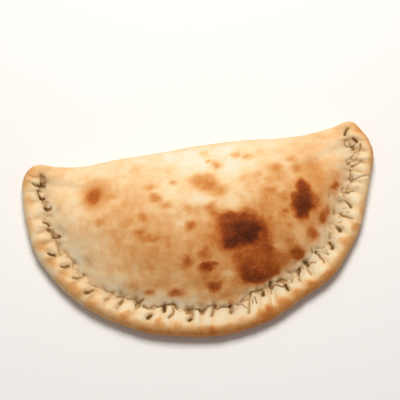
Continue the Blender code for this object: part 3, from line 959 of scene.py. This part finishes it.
@dataclass(frozen=True)
class Flour:
    """Where the crust is floury, as shares of full cover.  Lengths are in millimetres."""

    at: float = 2.5  # how far over the lip its band on the dome is thickest
    outer: float = 6.0  # how far the band spreads from there to the lip
    inner: float = 4.5  # how far it spreads up the dome at the left of the front
    inner_more: float = 4.0  # how much further it does so to the right
    inner_right: Step = (90.0, 150.0)  # where that sets in
    inner_less: float = 2.5  # how much less it does so past the middle
    inner_middle: Stretch = (235.0, 255.0, 305.0, 330.0)  # the stretch where it does
    cover: float = 0.4  # how thick the band is at the left
    cover_more: float = 0.2  # how much thicker to the right
    cover_right: Step = (110.0, 160.0)  # where that sets in
    left_more: float = 0.2  # how much thicker near the left tip
    left_at: float = 38.0  # where that is, along the outline
    left_width: float = 14.0  # how far that spreads
    cover_less: float = 0.6  # what share of it is missing past the middle
    cover_middle: Stretch = (232.0, 250.0, 305.0, 325.0)  # the stretch where it is
    tips: Step = (6.0, 28.0)  # where it sets in from each tip
    # How floury the roll's inner side is, as (length along, share).
    on_roll: tuple[Place, ...] = (
        (0, 0), (20, 0), (32, 0.35), (60, 0.15), (80, 0), (225, 0), (240, 0.25), (275, 0.25), (300, 0.6),
        (322, 0.5), (345, 0.2), (370, 0.4), (400, 0.15), (440, 0.4), (465, 0.3), (480, 0.1), (488, 0),
    )
    roll_at: float = -5.0  # where, from the lip, that is thickest
    roll_outer: float = 5.0  # how far it spreads outwards
    roll_inner: float = 6.0  # how far it spreads to the lip
    uneven: Lumps = Lumps(51, 9.0, 0.8)  # how uneven all of it is
    brown: float = 0.75  # the tone that is too brown to show any
    haste: float = 2.0  # how fast it is hidden towards that tone

    @staticmethod
    def band(away: Array, outer: float, inner: float | Array) -> Array:
        """A bell with one width outwards, where away is below 0, and another inwards."""
        return bell(np.minimum(away, 0), outer) * bell(np.maximum(away, 0), inner)

    def dust(self, points: Points, shape: Array, tone: Array) -> Array:
        """How floury each point is: a band just over the lip, or before it the roll's own if that is more.

        Args:
            points: the crust's points.
            shape: their places.
            tone: how brown they are.

        Returns:
            One share for each point, from 0 to 1.
        """
        along, from_lip = points.along, points.from_lip
        inner = self.inner + self.inner_more * ease(along, *self.inner_right)
        inner -= self.inner_less * plateau(along, *self.inner_middle)
        cover = self.cover + self.cover_more * ease(along, *self.cover_right)
        cover += self.left_more * bell(along - self.left_at, self.left_width)
        less = self.cover_less * plateau(along, *self.cover_middle)
        cover *= ease(points.from_tip, *self.tips) * (1 - less)
        thick = cover * self.band(from_lip - self.at, self.outer, inner)
        roll = self.band(from_lip - self.roll_at, self.roll_outer, self.roll_inner)
        roll *= table(self.on_roll, along)
        thick = np.where(from_lip < 0, np.maximum(thick, roll), thick)
        thick = thick * points.front * (points.turn > 0) * (1 + self.uneven.at(shape))
        return np.clip(thick * np.clip(self.haste * (self.brown - tone), 0, 1), 0, 1)


@dataclass(frozen=True)
class Facets:
    """How the crust is divided into rows and columns, with widths in millimetres."""

    front: int = 963  # columns along the pleated front
    fold: int = 117  # columns along the fold
    underside: int = 2  # rows of full columns on the underside
    underside_width: float = 6.0  # how far in those run
    lower: int = 6  # rows from the underside to the edge's furthest point
    upper: int = 13  # rows from there to the crest
    inner: int = 8  # rows from the crest to the seam band
    band: int = 26  # rows across the seam band
    band_half: float = 6.5  # half the width of the seam band
    skirt: int = 8  # rows beyond it
    skirt_width: float = 7.0  # how far the full columns run on beyond the band
    dome: int = 60  # rows of a third of the columns
    top: int = 16  # rows of a ninth of the columns
    top_share: float = 0.25  # how much of the way from the skirt to the middle is left to those
    sole_at: float = 9.0  # how far in the underside's row of a third of the columns lies
    sole_start: float = 14.0  # how far in its rows of a ninth of the columns start
    sole: int = 4  # how many of those there are

    @staticmethod
    def rows(start: Array, end: Array, count: int) -> Array:
        """Distances in at even steps from the start towards the end, the last step left out."""
        return start + (end - start) * (np.arange(count) / count)[:, None]

    @staticmethod
    def turns(start: float, end: float, count: int) -> Array:
        """Turns at even steps from the start towards the end, the last step left out."""
        return np.linspace(start, end, count, endpoint=False)[:, None]


class CrustNet:
    """The closed net of facets that the crust is drawn on, with the place of each point in it."""

    def __init__(self) -> None:
        """Starts with no points and no faces."""
        self.blocks: list[list[Array]] = []
        self.faces: list[Array] = []
        self.count = 0

    def add(self, along: Array | float, distance: Array, turn: Array | float) -> Array:
        """Adds a block of points.

        Args:
            along: the length along the outline of each column.
            distance: the distance in of each point, as rows by columns.
            turn: the turn of the edge's section at each row.

        Returns:
            The new points' numbers, as rows by columns.
        """
        self.blocks.append([np.broadcast_to(values, distance.shape) for values in (along, distance, turn)])
        numbers = self.count + np.arange(distance.size).reshape(distance.shape)
        self.count += distance.size
        return numbers

    def layout(self) -> tuple[Array, ...]:
        """The length along, the distance in and the turn of every point."""
        return tuple(np.concatenate([part.ravel() for part in kind]) for kind in zip(*self.blocks))

    def weave(self, numbers: Array) -> None:
        """Fills a closed block, from its lowest row to its highest, with four-sided faces that point out."""
        beside = np.roll(numbers, -1, axis=1)
        quads = np.stack([numbers[:-1], beside[:-1], beside[1:], numbers[1:]], axis=-1)
        self.faces.append(quads.reshape(-1, 4))

    def fill(self, one: Array, two: Array, three: Array, upwards: bool) -> None:
        """Adds three-sided faces, turned the other way round where the net is closed downwards."""
        self.faces.append(np.stack((one, two, three) if upwards else (one, three, two), axis=-1))

    def join(self, fine: Array, coarse: Array, upwards: bool) -> None:
        """Joins a row to one with a third of its columns, with four three-sided faces for each.

        Args:
            fine: the points of the close-set row.
            coarse: the points of the other row.
            upwards: whether the coarse row is the higher one.
        """
        first, second, third = fine[0::3], fine[1::3], fine[2::3]
        last, beside = np.roll(first, -1), np.roll(coarse, -1)
        self.fill(first, second, coarse, upwards)
        self.fill(second, beside, coarse, upwards)
        self.fill(second, third, beside, upwards)
        self.fill(third, last, beside, upwards)

    def close(self, row: Array, pole: Array, upwards: bool) -> None:
        """Closes the net with a fan from a row to the one point of a pole's block."""
        self.fill(row, np.roll(row, -1), np.full(len(row), pole.item()), upwards)

    def outward(self, shape: Array) -> Array:
        """The way out of the surface at each point, from the faces around it.

        Args:
            shape: the place of each point.

        Returns:
            One unit arrow for each point.
        """
        total = np.zeros_like(shape)
        for faces in self.faces:
            first, second, third = (shape[faces[:, corner]] for corner in (0, 1, 2))
            way = np.cross(second - first, third - first)
            for corner in range(faces.shape[1]):
                for axis in range(3):
                    total[:, axis] += np.bincount(faces[:, corner], way[:, axis], len(shape))
        return total / np.maximum(np.linalg.norm(total, axis=1, keepdims=True), 1e-12)


@dataclass
class Crust:
    """The whole calzone as one closed surface of baked dough."""

    moon: HalfMoon = field(default_factory=HalfMoon)  # its outline
    rim: PleatedRim = PleatedRim()  # the roll of its rim
    pleats: Pleats = Pleats()  # the pleats in that
    valley: Valley = Valley()  # the painted shade of the valley behind it
    dome: Dome = Dome()  # its dome and fold
    settling: Settling = Settling()  # how its tips are settled
    pressing: Pressing = Pressing()  # how its creases are pressed
    dough: Dough = Dough()  # how uneven it is
    oven: Oven = Oven()  # how it is browned, with some painted light and shade on its roll
    flour: Flour = Flour()  # where it is floury
    facets: Facets = Facets()  # how it is divided

    def columns(self) -> Array:
        """The length along the outline of each full column: close-set along the front."""
        front = np.linspace(0, self.moon.front_length, self.facets.front, endpoint=False)
        fold = np.linspace(self.moon.front_length, self.moon.around, self.facets.fold, endpoint=False)
        return np.concatenate([front, fold])

    def lay_out(self) -> CrustNet:
        """Divides the crust into blocks of rows, each point with its column, its distance in and its turn.

        Full columns go round the edge and over the seam, a third of them go up the dome, and a ninth of
        them to its top and over the underside.

        Returns:
            The net, from the middle of the underside round the edge to the top of the dome.
        """
        net, facets = CrustNet(), self.facets
        along = self.columns()
        width = self.rim.width(self.moon, along)
        reach = self.moon.reach(along)
        crest = width * self.rim.crest
        tuck = crest + (self.dome.tuck - crest) * self.moon.folded(along)
        band_start, band_end = width - facets.band_half, width + facets.band_half
        skirt_end = band_end + facets.skirt_width

        flat = facets.rows(tuck + facets.underside_width, tuck, facets.underside)
        lower = facets.turns(UNDERNEATH, 0, facets.lower)
        upper = facets.turns(0, OVERHEAD, facets.upper)
        over = np.vstack([
            facets.rows(crest, band_start, facets.inner),
            facets.rows(band_start, band_end, facets.band),
            facets.rows(band_end, skirt_end, facets.skirt),
        ])
        distance = np.vstack([flat, tuck * (1 - np.cos(lower)), crest * (1 - np.cos(upper)), over])
        under_turn, over_turn = np.full((len(flat), 1), UNDERNEATH), np.full((len(over), 1), OVERHEAD)
        full = net.add(along, distance, np.vstack([under_turn, lower, upper, over_turn]))
        net.weave(full)

        left = reach - skirt_end
        share = np.linspace(0, 1 - facets.top_share, facets.dome)[:, None]
        dome = net.add(along[::3], skirt_end[::3] + left[::3] * share, OVERHEAD)
        net.join(full[-1], dome[0], upwards=True)
        net.weave(dome)
        share = 1 - facets.top_share * (1 - np.arange(1, facets.top + 1) / (facets.top + 1))[:, None]
        top = net.add(along[::9], skirt_end[::9] + left[::9] * share, OVERHEAD)
        net.join(dome[-1], top[0], upwards=True)
        net.weave(top)
        net.close(top[-1], net.add(0.0, reach[:1, None], OVERHEAD), upwards=True)

        ring = net.add(along[::3], (tuck + facets.sole_at)[None, ::3], UNDERNEATH)
        net.join(full[0], ring[0], upwards=False)
        start = (tuck + facets.sole_start)[::9]
        sole = net.add(along[::9], facets.rows(start, reach[::9], facets.sole), UNDERNEATH)
        net.join(ring[0], sole[0], upwards=False)
        net.weave(sole[::-1])
        net.close(sole[-1], net.add(0.0, reach[:1, None], UNDERNEATH), upwards=False)
        return net

    def locate(self, net: CrustNet) -> Points:
        """Finds where each of the net's points lies on the calzone.

        Args:
            net: the net.

        Returns:
            The points, from the net's first block to its last.
        """
        along, distance, turn = net.layout()
        rim, folded = self.rim, self.moon.folded(along)
        on_side, on_top = ((1 - folded) * (turn > least) for least in (rim.side_turn, rim.top_turn))
        lip = table(rim.lip, along)
        return Points(along, distance, turn, folded, self.moon.from_tip(along), lip, on_side, on_top)

    def from_seam(self, plan: Array) -> Array:
        """How far each point is from the seam.

        The seam has a part round each tip and one along the front.  The distances from them are rounded
        off into each other, so that no sharp fold runs in from a tip.

        Args:
            plan: the points seen from above.

        Returns:
            One distance for each point.
        """
        dome = self.dome
        run = np.arange(-dome.tip_run, self.moon.front_length + dome.tip_run)
        line = self.moon.inward(run % self.moon.around, self.rim.width(self.moon, run))
        start, end = dome.tip_seam, len(run) - dome.tip_seam
        from_front = nearest_distance(plan, line[start:end])
        left, right = nearest_distance(plan, line[: start + 1]), nearest_distance(plan, line[end:])
        from_tips = np.minimum(left, right)
        blend = np.clip(dome.tip_blend * (from_front + from_tips), *dome.blend_range)
        return np.minimum(from_front, from_tips) - overlap(from_front, from_tips, blend)

    def plain_shape(self, net: CrustNet, points: Points) -> Array:
        """The smooth shape before any pinch, lump or crease.

        From underneath to the crest the edge is an elliptical roll.  From the crest inwards the height is
        the roll's superellipse down to the lip, or the dome's rise from the seam where that is higher.
        Along the fold it is a quarter ellipse up to the edge, which is rounded over, and then the dome's
        superellipse.

        Args:
            net: the net to shape.
            points: its points.

        Returns:
            The place of each point, in millimetres.
        """
        along, distance, turn, folded = points.along, points.distance, points.turn, points.folded
        rim, dome = self.rim, self.dome
        plan = self.moon.inward(along, distance)
        width = rim.width(self.moon, along)
        from_fold = nearest_distance(plan, self.moon.ring[self.moon.tip :])
        over_seam = dome.over_seam(self.from_seam(plan) * np.where(distance < width, 2 * folded - 1, 1))

        flat = rim.height - rim.tip_drop
        seam = rim.seam + (flat - rim.seam) * ease(points.from_tip, *rim.tip_seam)
        foot = seam + (dome.foot - seam) * np.clip(over_seam, 0, 1)
        foot = dome.edge + (foot - dome.edge) * dome.over_edge(from_fold)
        filled = foot + (dome.height - foot) * over_seam * dome.over_fold(from_fold)

        crest = width * rim.crest
        share = np.clip((distance - crest) / (points.lip - crest), 0, 1)
        low = flat + (rim.seam - rim.lip_drop - flat) * ease(points.from_tip, *rim.tip_roll)
        roll = low + (rim.height - low) * (1 - share**rim.squareness) ** (1 / rim.squareness)
        blend = rim.soft_valley + (rim.sharp_valley - rim.soft_valley) * plateau(along, *rim.sharp)
        over = np.maximum(roll, filled) + overlap(roll, filled, blend)
        over += (filled - over) * folded

        side = rim.height / 2 * (1 + np.sin(turn))
        back = np.where(turn < 0, dome.edge * (1 + np.sin(turn)), filled)
        edge = side + (back - side) * folded
        height = np.where((turn < 0) | (distance <= crest), edge, over)
        plan[:, 1] += dome.edge_shift * folded * ease(from_fold, *dome.shift_in)
        from_edge = np.where(along > self.moon.front_length, self.settling.fold_haste * from_fold, distance)
        return np.column_stack([plan, self.settled(net, height, from_edge)])

    def settled(self, net: CrustNet, height: Array, from_edge: Array) -> Array:
        """Rounds off the valley that runs out round each tip, where the roll is pressed flat.

        Args:
            net: the net, whose first block has the full columns.
            height: the height of each point.
            from_edge: how far in from the edge each point is.

        Returns:
            The heights, with those near the tips drawn again and again towards the straight line between
            their neighbours in the rows below and above.
        """
        along, distance, turn = net.blocks[0]
        moon, settling = self.moon, self.settling
        on_front = ease(moon.from_tip(along), *settling.front)
        on_fold = ease(moon.past_tip(along), *settling.fold)
        share = np.where(along < moon.front_length, on_front, on_fold) * (turn == OVERHEAD)
        share *= ease(from_edge[: along.size].reshape(along.shape), *settling.edge)
        share *= ease(distance - distance[-1], *settling.inner)
        block = height[: along.size].reshape(along.shape).copy()
        lean = (distance[1:-1] - distance[:-2]) / np.maximum(distance[2:] - distance[:-2], 1e-6)
        for _ in range(settling.passes):
            line = block[:-2] + (block[2:] - block[:-2]) * lean
            block[1:-1] += settling.pull * share[1:-1] * (line - block[1:-1])
        return np.concatenate([block.ravel(), height[along.size :]])

    def relief(self, points: Points, shape: Array) -> tuple[Array, Array]:
        """Everything finer than the plain shape: pleats, creases and lumps, with the shade painted in them.

        Args:
            points: the net's points.
            shape: its plain shape.

        Returns:
            How far each point moves out, in millimetres, and how dark the painted shade of its crease, pinch
            or valley is, from 0 to 1.
        """
        pressed, dark = self.pressing.press_all(self.moon, points, shape[:, :2])
        # Painted shade of the valley and the pinches.
        shade = np.maximum(self.valley.shade(points, shape), self.pleats.shade(points))
        dark = np.maximum(dark, points.on_side * shade)
        move = self.pleats.lift(points) + pressed + self.dough.lumps(points, shape)
        return move, np.clip(dark, 0, 1)

    def build(self) -> bpy.types.Object:
        """Makes the crust's mesh, inside the CAD node's box, with its creases' painted shade, its browning
        and its flour as attributes.

        Returns:
            The crust, at the origin, with its place in its mesh.
        """
        net = self.lay_out()
        points = self.locate(net)
        plain = self.plain_shape(net, points)
        move, crease = self.relief(points, plain)
        tone = self.oven.bake(points, plain, self.pleats)
        shape = plain + net.outward(plain) * move[:, None]
        low, high = (np.array(corner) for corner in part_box("calzone"))
        size = shape.max(axis=0) - shape.min(axis=0)
        shape = low + (shape - shape.min(axis=0)) * (high - low) / size

        mesh = bpy.data.meshes.new("calzone_crust")
        corners = np.concatenate([faces.ravel() for faces in net.faces])
        sides = np.concatenate([np.full(len(faces), faces.shape[1]) for faces in net.faces])
        mesh.vertices.add(len(shape))
        mesh.vertices.foreach_set("co", shape.astype(np.float32).ravel())
        mesh.loops.add(len(corners))
        mesh.loops.foreach_set("vertex_index", corners.astype(np.int32))
        mesh.polygons.add(len(sides))
        mesh.polygons.foreach_set("loop_start", (np.cumsum(sides) - sides).astype(np.int32))
        mesh.update(calc_edges=True)
        mesh.validate()
        mesh.shade_smooth()
        # The crease layer is painted shade: of the creases, the pinches and the valley by the lip.
        layers = {"bake": tone, "crease": crease, "dust": self.flour.dust(points, plain, tone)}
        for name, values in layers.items():
            layer = mesh.attributes.new(name, "FLOAT", "POINT")
            layer.data.foreach_set("value", values.astype(np.float32))
        crust = bpy.data.objects.new("calzone_crust", mesh)
        bpy.context.scene.collection.objects.link(crust)
        LOG.info("crust: %d points, %d triangles", len(shape), int((sides - 2).sum()))
        return crust


class Wire:
    """One output of a shader node, with arithmetic that adds Math nodes."""

    def __init__(self, board: "NodeBoard", socket: bpy.types.NodeSocket) -> None:
        """Keeps the output and the board that adds nodes to it."""
        self.board = board
        self.socket = socket

    def __add__(self, other: "Wire | float") -> "Wire":
        """The sum."""
        return self.board.math("ADD", self, other)

    def __radd__(self, other: float) -> "Wire":
        """The sum."""
        return self.board.math("ADD", other, self)

    def __sub__(self, other: "Wire | float") -> "Wire":
        """The difference."""
        return self.board.math("SUBTRACT", self, other)

    def __rsub__(self, other: float) -> "Wire":
        """The difference, the other way round."""
        return self.board.math("SUBTRACT", other, self)

    def __mul__(self, other: "Wire | float") -> "Wire":
        """The product."""
        return self.board.math("MULTIPLY", self, other)

    def __rmul__(self, other: float) -> "Wire":
        """The product."""
        return self.board.math("MULTIPLY", other, self)


class NodeBoard:
    """A material's nodes, added one call at a time."""

    def __init__(self, name: str) -> None:
        """Makes a material of that name with an empty board."""
        self.material = bpy.data.materials.new(name)
        self.material.use_nodes = True
        self.tree = self.material.node_tree
        self.tree.nodes.clear()

    def node(self, kind: str, inputs: dict[Any, Any], **settings: Any) -> bpy.types.Node:
        """Adds one node.

        Args:
            kind: the node's type.
            inputs: a value or a wire for each of its sockets.
            **settings: its own settings, and a ramp's stops under "stops".

        Returns:
            The node.
        """
        made = self.tree.nodes.new(kind)
        for name, value in settings.items():
            if name == "stops":
                self.set_stops(made, value)
            else:
                setattr(made, name, value)
        for name, value in inputs.items():
            if isinstance(value, Wire):
                self.tree.links.new(value.socket, made.inputs[name])
            else:
                made.inputs[name].default_value = value
        return made

    @staticmethod
    def set_stops(ramp: bpy.types.Node, stops: list[tuple[float, Colour]]) -> None:
        """Gives a ramp its stops, each a position and a colour."""
        elements = ramp.color_ramp.elements
        while len(elements) < len(stops):
            elements.new(1.0)
        for element, (position, colour) in zip(elements, stops):
            element.position = position
            element.color = colour

    def wire(self, kind: str, output: str | int, inputs: dict[Any, Any], **settings: Any) -> Wire:
        """Adds one node and gives one of its outputs.

        Args:
            kind: the node's type.
            output: the output's name or number.
            inputs: a value or a wire for each of its sockets.
            **settings: the node's own settings.

        Returns:
            The output.
        """
        return Wire(self, self.node(kind, inputs, **settings).outputs[output])

    def math(self, operation: str, first: Wire | float, second: Wire | float, clamp: bool = False) -> Wire:
        """Adds one Math node.

        Args:
            operation: what it does.
            first: its first value.
            second: its second value.
            clamp: whether the result is kept between 0 and 1.

        Returns:
            Its result.
        """
        inputs = {0: first, 1: second}
        return self.wire("ShaderNodeMath", "Value", inputs, operation=operation, use_clamp=clamp)

    def clamped(self, value: Wire) -> Wire:
        """The value kept between 0 and 1."""
        return self.math("ADD", value, 0.0, clamp=True)

    def attribute(self, name: str) -> Wire:
        """A value that the mesh carries."""
        return self.wire("ShaderNodeAttribute", "Fac", {}, attribute_name=name)

    def mixed(self, share: Wire, first: Wire | Colour, second: Wire | Colour) -> Wire:
        """A mix of two colours, by how much of the second it has."""
        inputs = {"Factor": share, MIX_FIRST: first, MIX_SECOND: second}
        return self.wire("ShaderNodeMix", MIX_RESULT, inputs, data_type="RGBA")

    def finish(self, **inputs: Any) -> bpy.types.Material:
        """Ends the board in a Principled shader.

        Args:
            **inputs: a value or a wire for each of its sockets, with _ for a space in the socket's name.

        Returns:
            The material.
        """
        named = {name.replace("_", " "): value for name, value in inputs.items()}
        shader = self.wire("ShaderNodeBsdfPrincipled", "BSDF", named)
        self.node("ShaderNodeOutputMaterial", {"Surface": shader})
        return self.material


class BakeTone(Enum):
    """How brown the dough is, and the colour that goes with it."""

    FLOURY = (0.0, srgb(236, 221, 196))
    PALE = (0.1, srgb(235, 212, 175))
    CREAM = (0.2, srgb(238, 205, 158))
    STRAW = (0.3, srgb(233, 191, 140))
    GOLDEN = (0.4, srgb(227, 175, 118))
    AMBER = (0.5, srgb(218, 158, 97))
    TOASTED = (0.6, srgb(209, 138, 74))
    RUSSET = (0.68, srgb(193, 113, 52))
    BROWN = (0.76, srgb(172, 88, 34))
    DARK = (0.84, srgb(145, 67, 26))
    SCORCHED = (0.92, srgb(115, 52, 22))
    CHARRED = (1.0, srgb(80, 32, 13))


@dataclass(frozen=True)
class Grain:
    """One layer of fine noise in the finish."""

    size: float  # the distance from lump to lump, in metres
    detail: float  # how many finer layers it has
    roughness: float  # how strong those are
    tone: float  # how far it changes how brown the dough is
    relief: float = 0.0  # how much of the finest relief is its own

    def wire(self, board: NodeBoard, place: Wire) -> Wire:
        """The noise at each place, from 0 to 1."""
        inputs = {"Vector": place, "Scale": 1 / self.size}
        inputs |= {"Detail": self.detail, "Roughness": self.roughness}
        return board.wire("ShaderNodeTexNoise", "Fac", inputs)


@dataclass(frozen=True)
class BakedCrust:
    """The finish of the crust: matt, mottled dough, browned by the oven and dusty along its seam, with
    painted shade in its creases.
    """

    fold: Colour = srgb(168, 131, 84)  # the painted shade's colour half way down a crease
    pit: Colour = srgb(76, 36, 5)  # the painted shade's colour at the bottom of a deep one
    flour: Colour = srgb(226, 210, 180)  # the colour where it is floury
    roughness: float = 0.72  # its plain roughness
    uneven_roughness: float = 0.2  # how far the grain changes that
    specular: float = 0.08  # how much it shines
    pore: Grain = Grain(0.9 * MM, 2.0, 0.5, 0.1, 0.4)  # its finest pores
    grain: Grain = Grain(2.6 * MM, 3.0, 0.6, 0.19, 0.6)  # its fine blisters
    mottle: Grain = Grain(9.0 * MM, 4.0, 0.6, 0.16)  # its soft patches
    relief: float = 0.25 * MM  # how high the finest relief stands, in metres
    relief_strength: float = 0.6  # how much of that is shown

    def make(self) -> bpy.types.Material:
        """Builds the material.

        The tone picks the dough's colour, and flour lies over it.  The first half of a crease's painted
        shade leads from there to the fold's colour, and the second half on to the pit's.

        Returns:
            The material.
        """
        board = NodeBoard("baked_crust")
        place = board.wire("ShaderNodeTexCoord", "Object", {})
        pore, grain, mottle = (layer.wire(board, place) for layer in (self.pore, self.grain, self.mottle))
        tone = board.attribute("bake") + (mottle - NOISE_MEAN) * self.mottle.tone
        tone = tone + (grain - NOISE_MEAN) * self.grain.tone + (pore - NOISE_MEAN) * self.pore.tone
        stops = [stop.value for stop in BakeTone]
        dough = board.wire("ShaderNodeValToRGB", "Color", {"Fac": board.clamped(tone)}, stops=stops)
        floury = board.mixed(board.attribute("dust"), dough, self.flour)
        # The crease layer is painted shade: of the creases, the pinches and the valley by the lip.
        crease = board.attribute("crease")
        shallow = board.mixed(board.clamped(crease * 2.0), floury, self.fold)
        colour = board.mixed(board.clamped(crease * 2.0 - 1.0), shallow, self.pit)
        height = grain * self.grain.relief + pore * self.pore.relief
        inputs = {"Height": height, "Strength": self.relief_strength, "Distance": self.relief}
        return board.finish(
            Base_Color=colour,
            Roughness=self.roughness + (grain - NOISE_MEAN) * self.uneven_roughness,
            Normal=board.wire("ShaderNodeBump", "Normal", inputs),
            Specular_IOR_Level=self.specular,
        )


@dataclass(frozen=True)
class Studio:
    """A pale floor, soft light and the camera."""

    floor_side: float = 6.0  # the floor's side, in metres
    floor_colour: Colour = (0.86, 0.85, 0.84, 1.0)  # its colour
    floor_roughness: float = 0.9  # its roughness
    sky: Colour = (1.0, 0.99, 0.97, 1.0)  # the colour of the even light from all sides
    sky_strength: float = 0.26  # its strength
    # Where the one square lamp hangs, above and a little behind the calzone.
    key_place: tuple[float, float, float] = (0.05, 0.53, 1.19)
    key_side: float = 0.5  # the lamp's side
    key_power: float = 15.9  # its power, in watts
    key_colour: Colour = (1.0, 0.98, 0.94)  # its colour
    # What the camera looks at, from the middle of the calzone.
    aim: tuple[float, float, float] = (-1.3 * MM, 33.9 * MM, 0.0)
    azimuth: float = -7.9  # how far round the camera stands, in degrees; 0 looks along +Y
    elevation: float = 73.0  # how far above the horizon it stands
    distance: float = 1.2  # how far away it is
    view_width: float = 322.0 * MM  # the width that it sees at that distance
    view_depth: float = 20.0  # how far it sees

    def set_up(self, name: str, data: bpy.types.ID, place: Vector, back: Vector) -> bpy.types.Object:
        """Puts a lamp or a camera in its place and turns it.

        Args:
            name: its name.
            data: the lamp or the camera.
            place: where it stands, in metres.
            back: the way that its back points, from what it looks at to itself.

        Returns:
            The new object.
        """
        made = bpy.data.objects.new(name, data)
        made.location = place
        made.rotation_mode = "QUATERNION"
        made.rotation_quaternion = back.to_track_quat("Z", "Y")
        bpy.context.scene.collection.objects.link(made)
        return made

    def lay_floor(self) -> None:
        """Lays the floor, just under the calzone."""
        half = self.floor_side / 2
        mesh = bpy.data.meshes.new("floor")
        corners = [(-half, -half, 0), (half, -half, 0), (half, half, 0), (-half, half, 0)]
        mesh.from_pydata(corners, [], [(0, 1, 2, 3)])
        floor = bpy.data.objects.new("floor", mesh)
        bpy.context.scene.collection.objects.link(floor)
        finish = NodeBoard("pale_floor").finish(Base_Color=self.floor_colour, Roughness=self.floor_roughness)
        floor.data.materials.append(finish)

    def light(self) -> None:
        """Lights the scene: one soft lamp above and behind, and an even sky."""
        world = bpy.data.worlds.new("studio")
        world.use_nodes = True
        sky = world.node_tree.nodes["Background"]
        sky.inputs["Color"].default_value = self.sky
        sky.inputs["Strength"].default_value = self.sky_strength
        bpy.context.scene.world = world
        lamp = bpy.data.lights.new("key", "AREA")
        lamp.size = self.key_side
        lamp.energy = self.key_power
        lamp.color = self.key_colour
        self.set_up("key", lamp, Vector(self.key_place), Vector(self.key_place))
        bpy.context.scene.view_settings.view_transform = "Standard"

    def set_camera(self) -> None:
        """Sets the camera up, level with its own right-hand side."""
        azimuth, elevation = math.radians(self.azimuth), math.radians(self.elevation)
        back = Vector((
            math.sin(azimuth) * math.cos(elevation),
            -math.cos(azimuth) * math.cos(elevation),
            math.sin(elevation),
        ))
        lens = bpy.data.cameras.new("camera")
        lens.lens = lens.sensor_width * self.distance / self.view_width
        lens.dof.use_dof = False
        lens.clip_end = self.view_depth
        place = Vector(self.aim) + back * self.distance
        bpy.context.scene.camera = self.set_up("camera", lens, place, back)


def main() -> None:
    """Builds the calzone and its studio."""
    logging.basicConfig(level=logging.INFO)
    studio = Studio()
    studio.set_camera()
    studio.light()
    studio.lay_floor()
    crust = Crust().build()
    crust.data.materials.append(BakedCrust().make())
    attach(crust, "root")
    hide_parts("calzone")


if __name__ == "__main__":
    main()
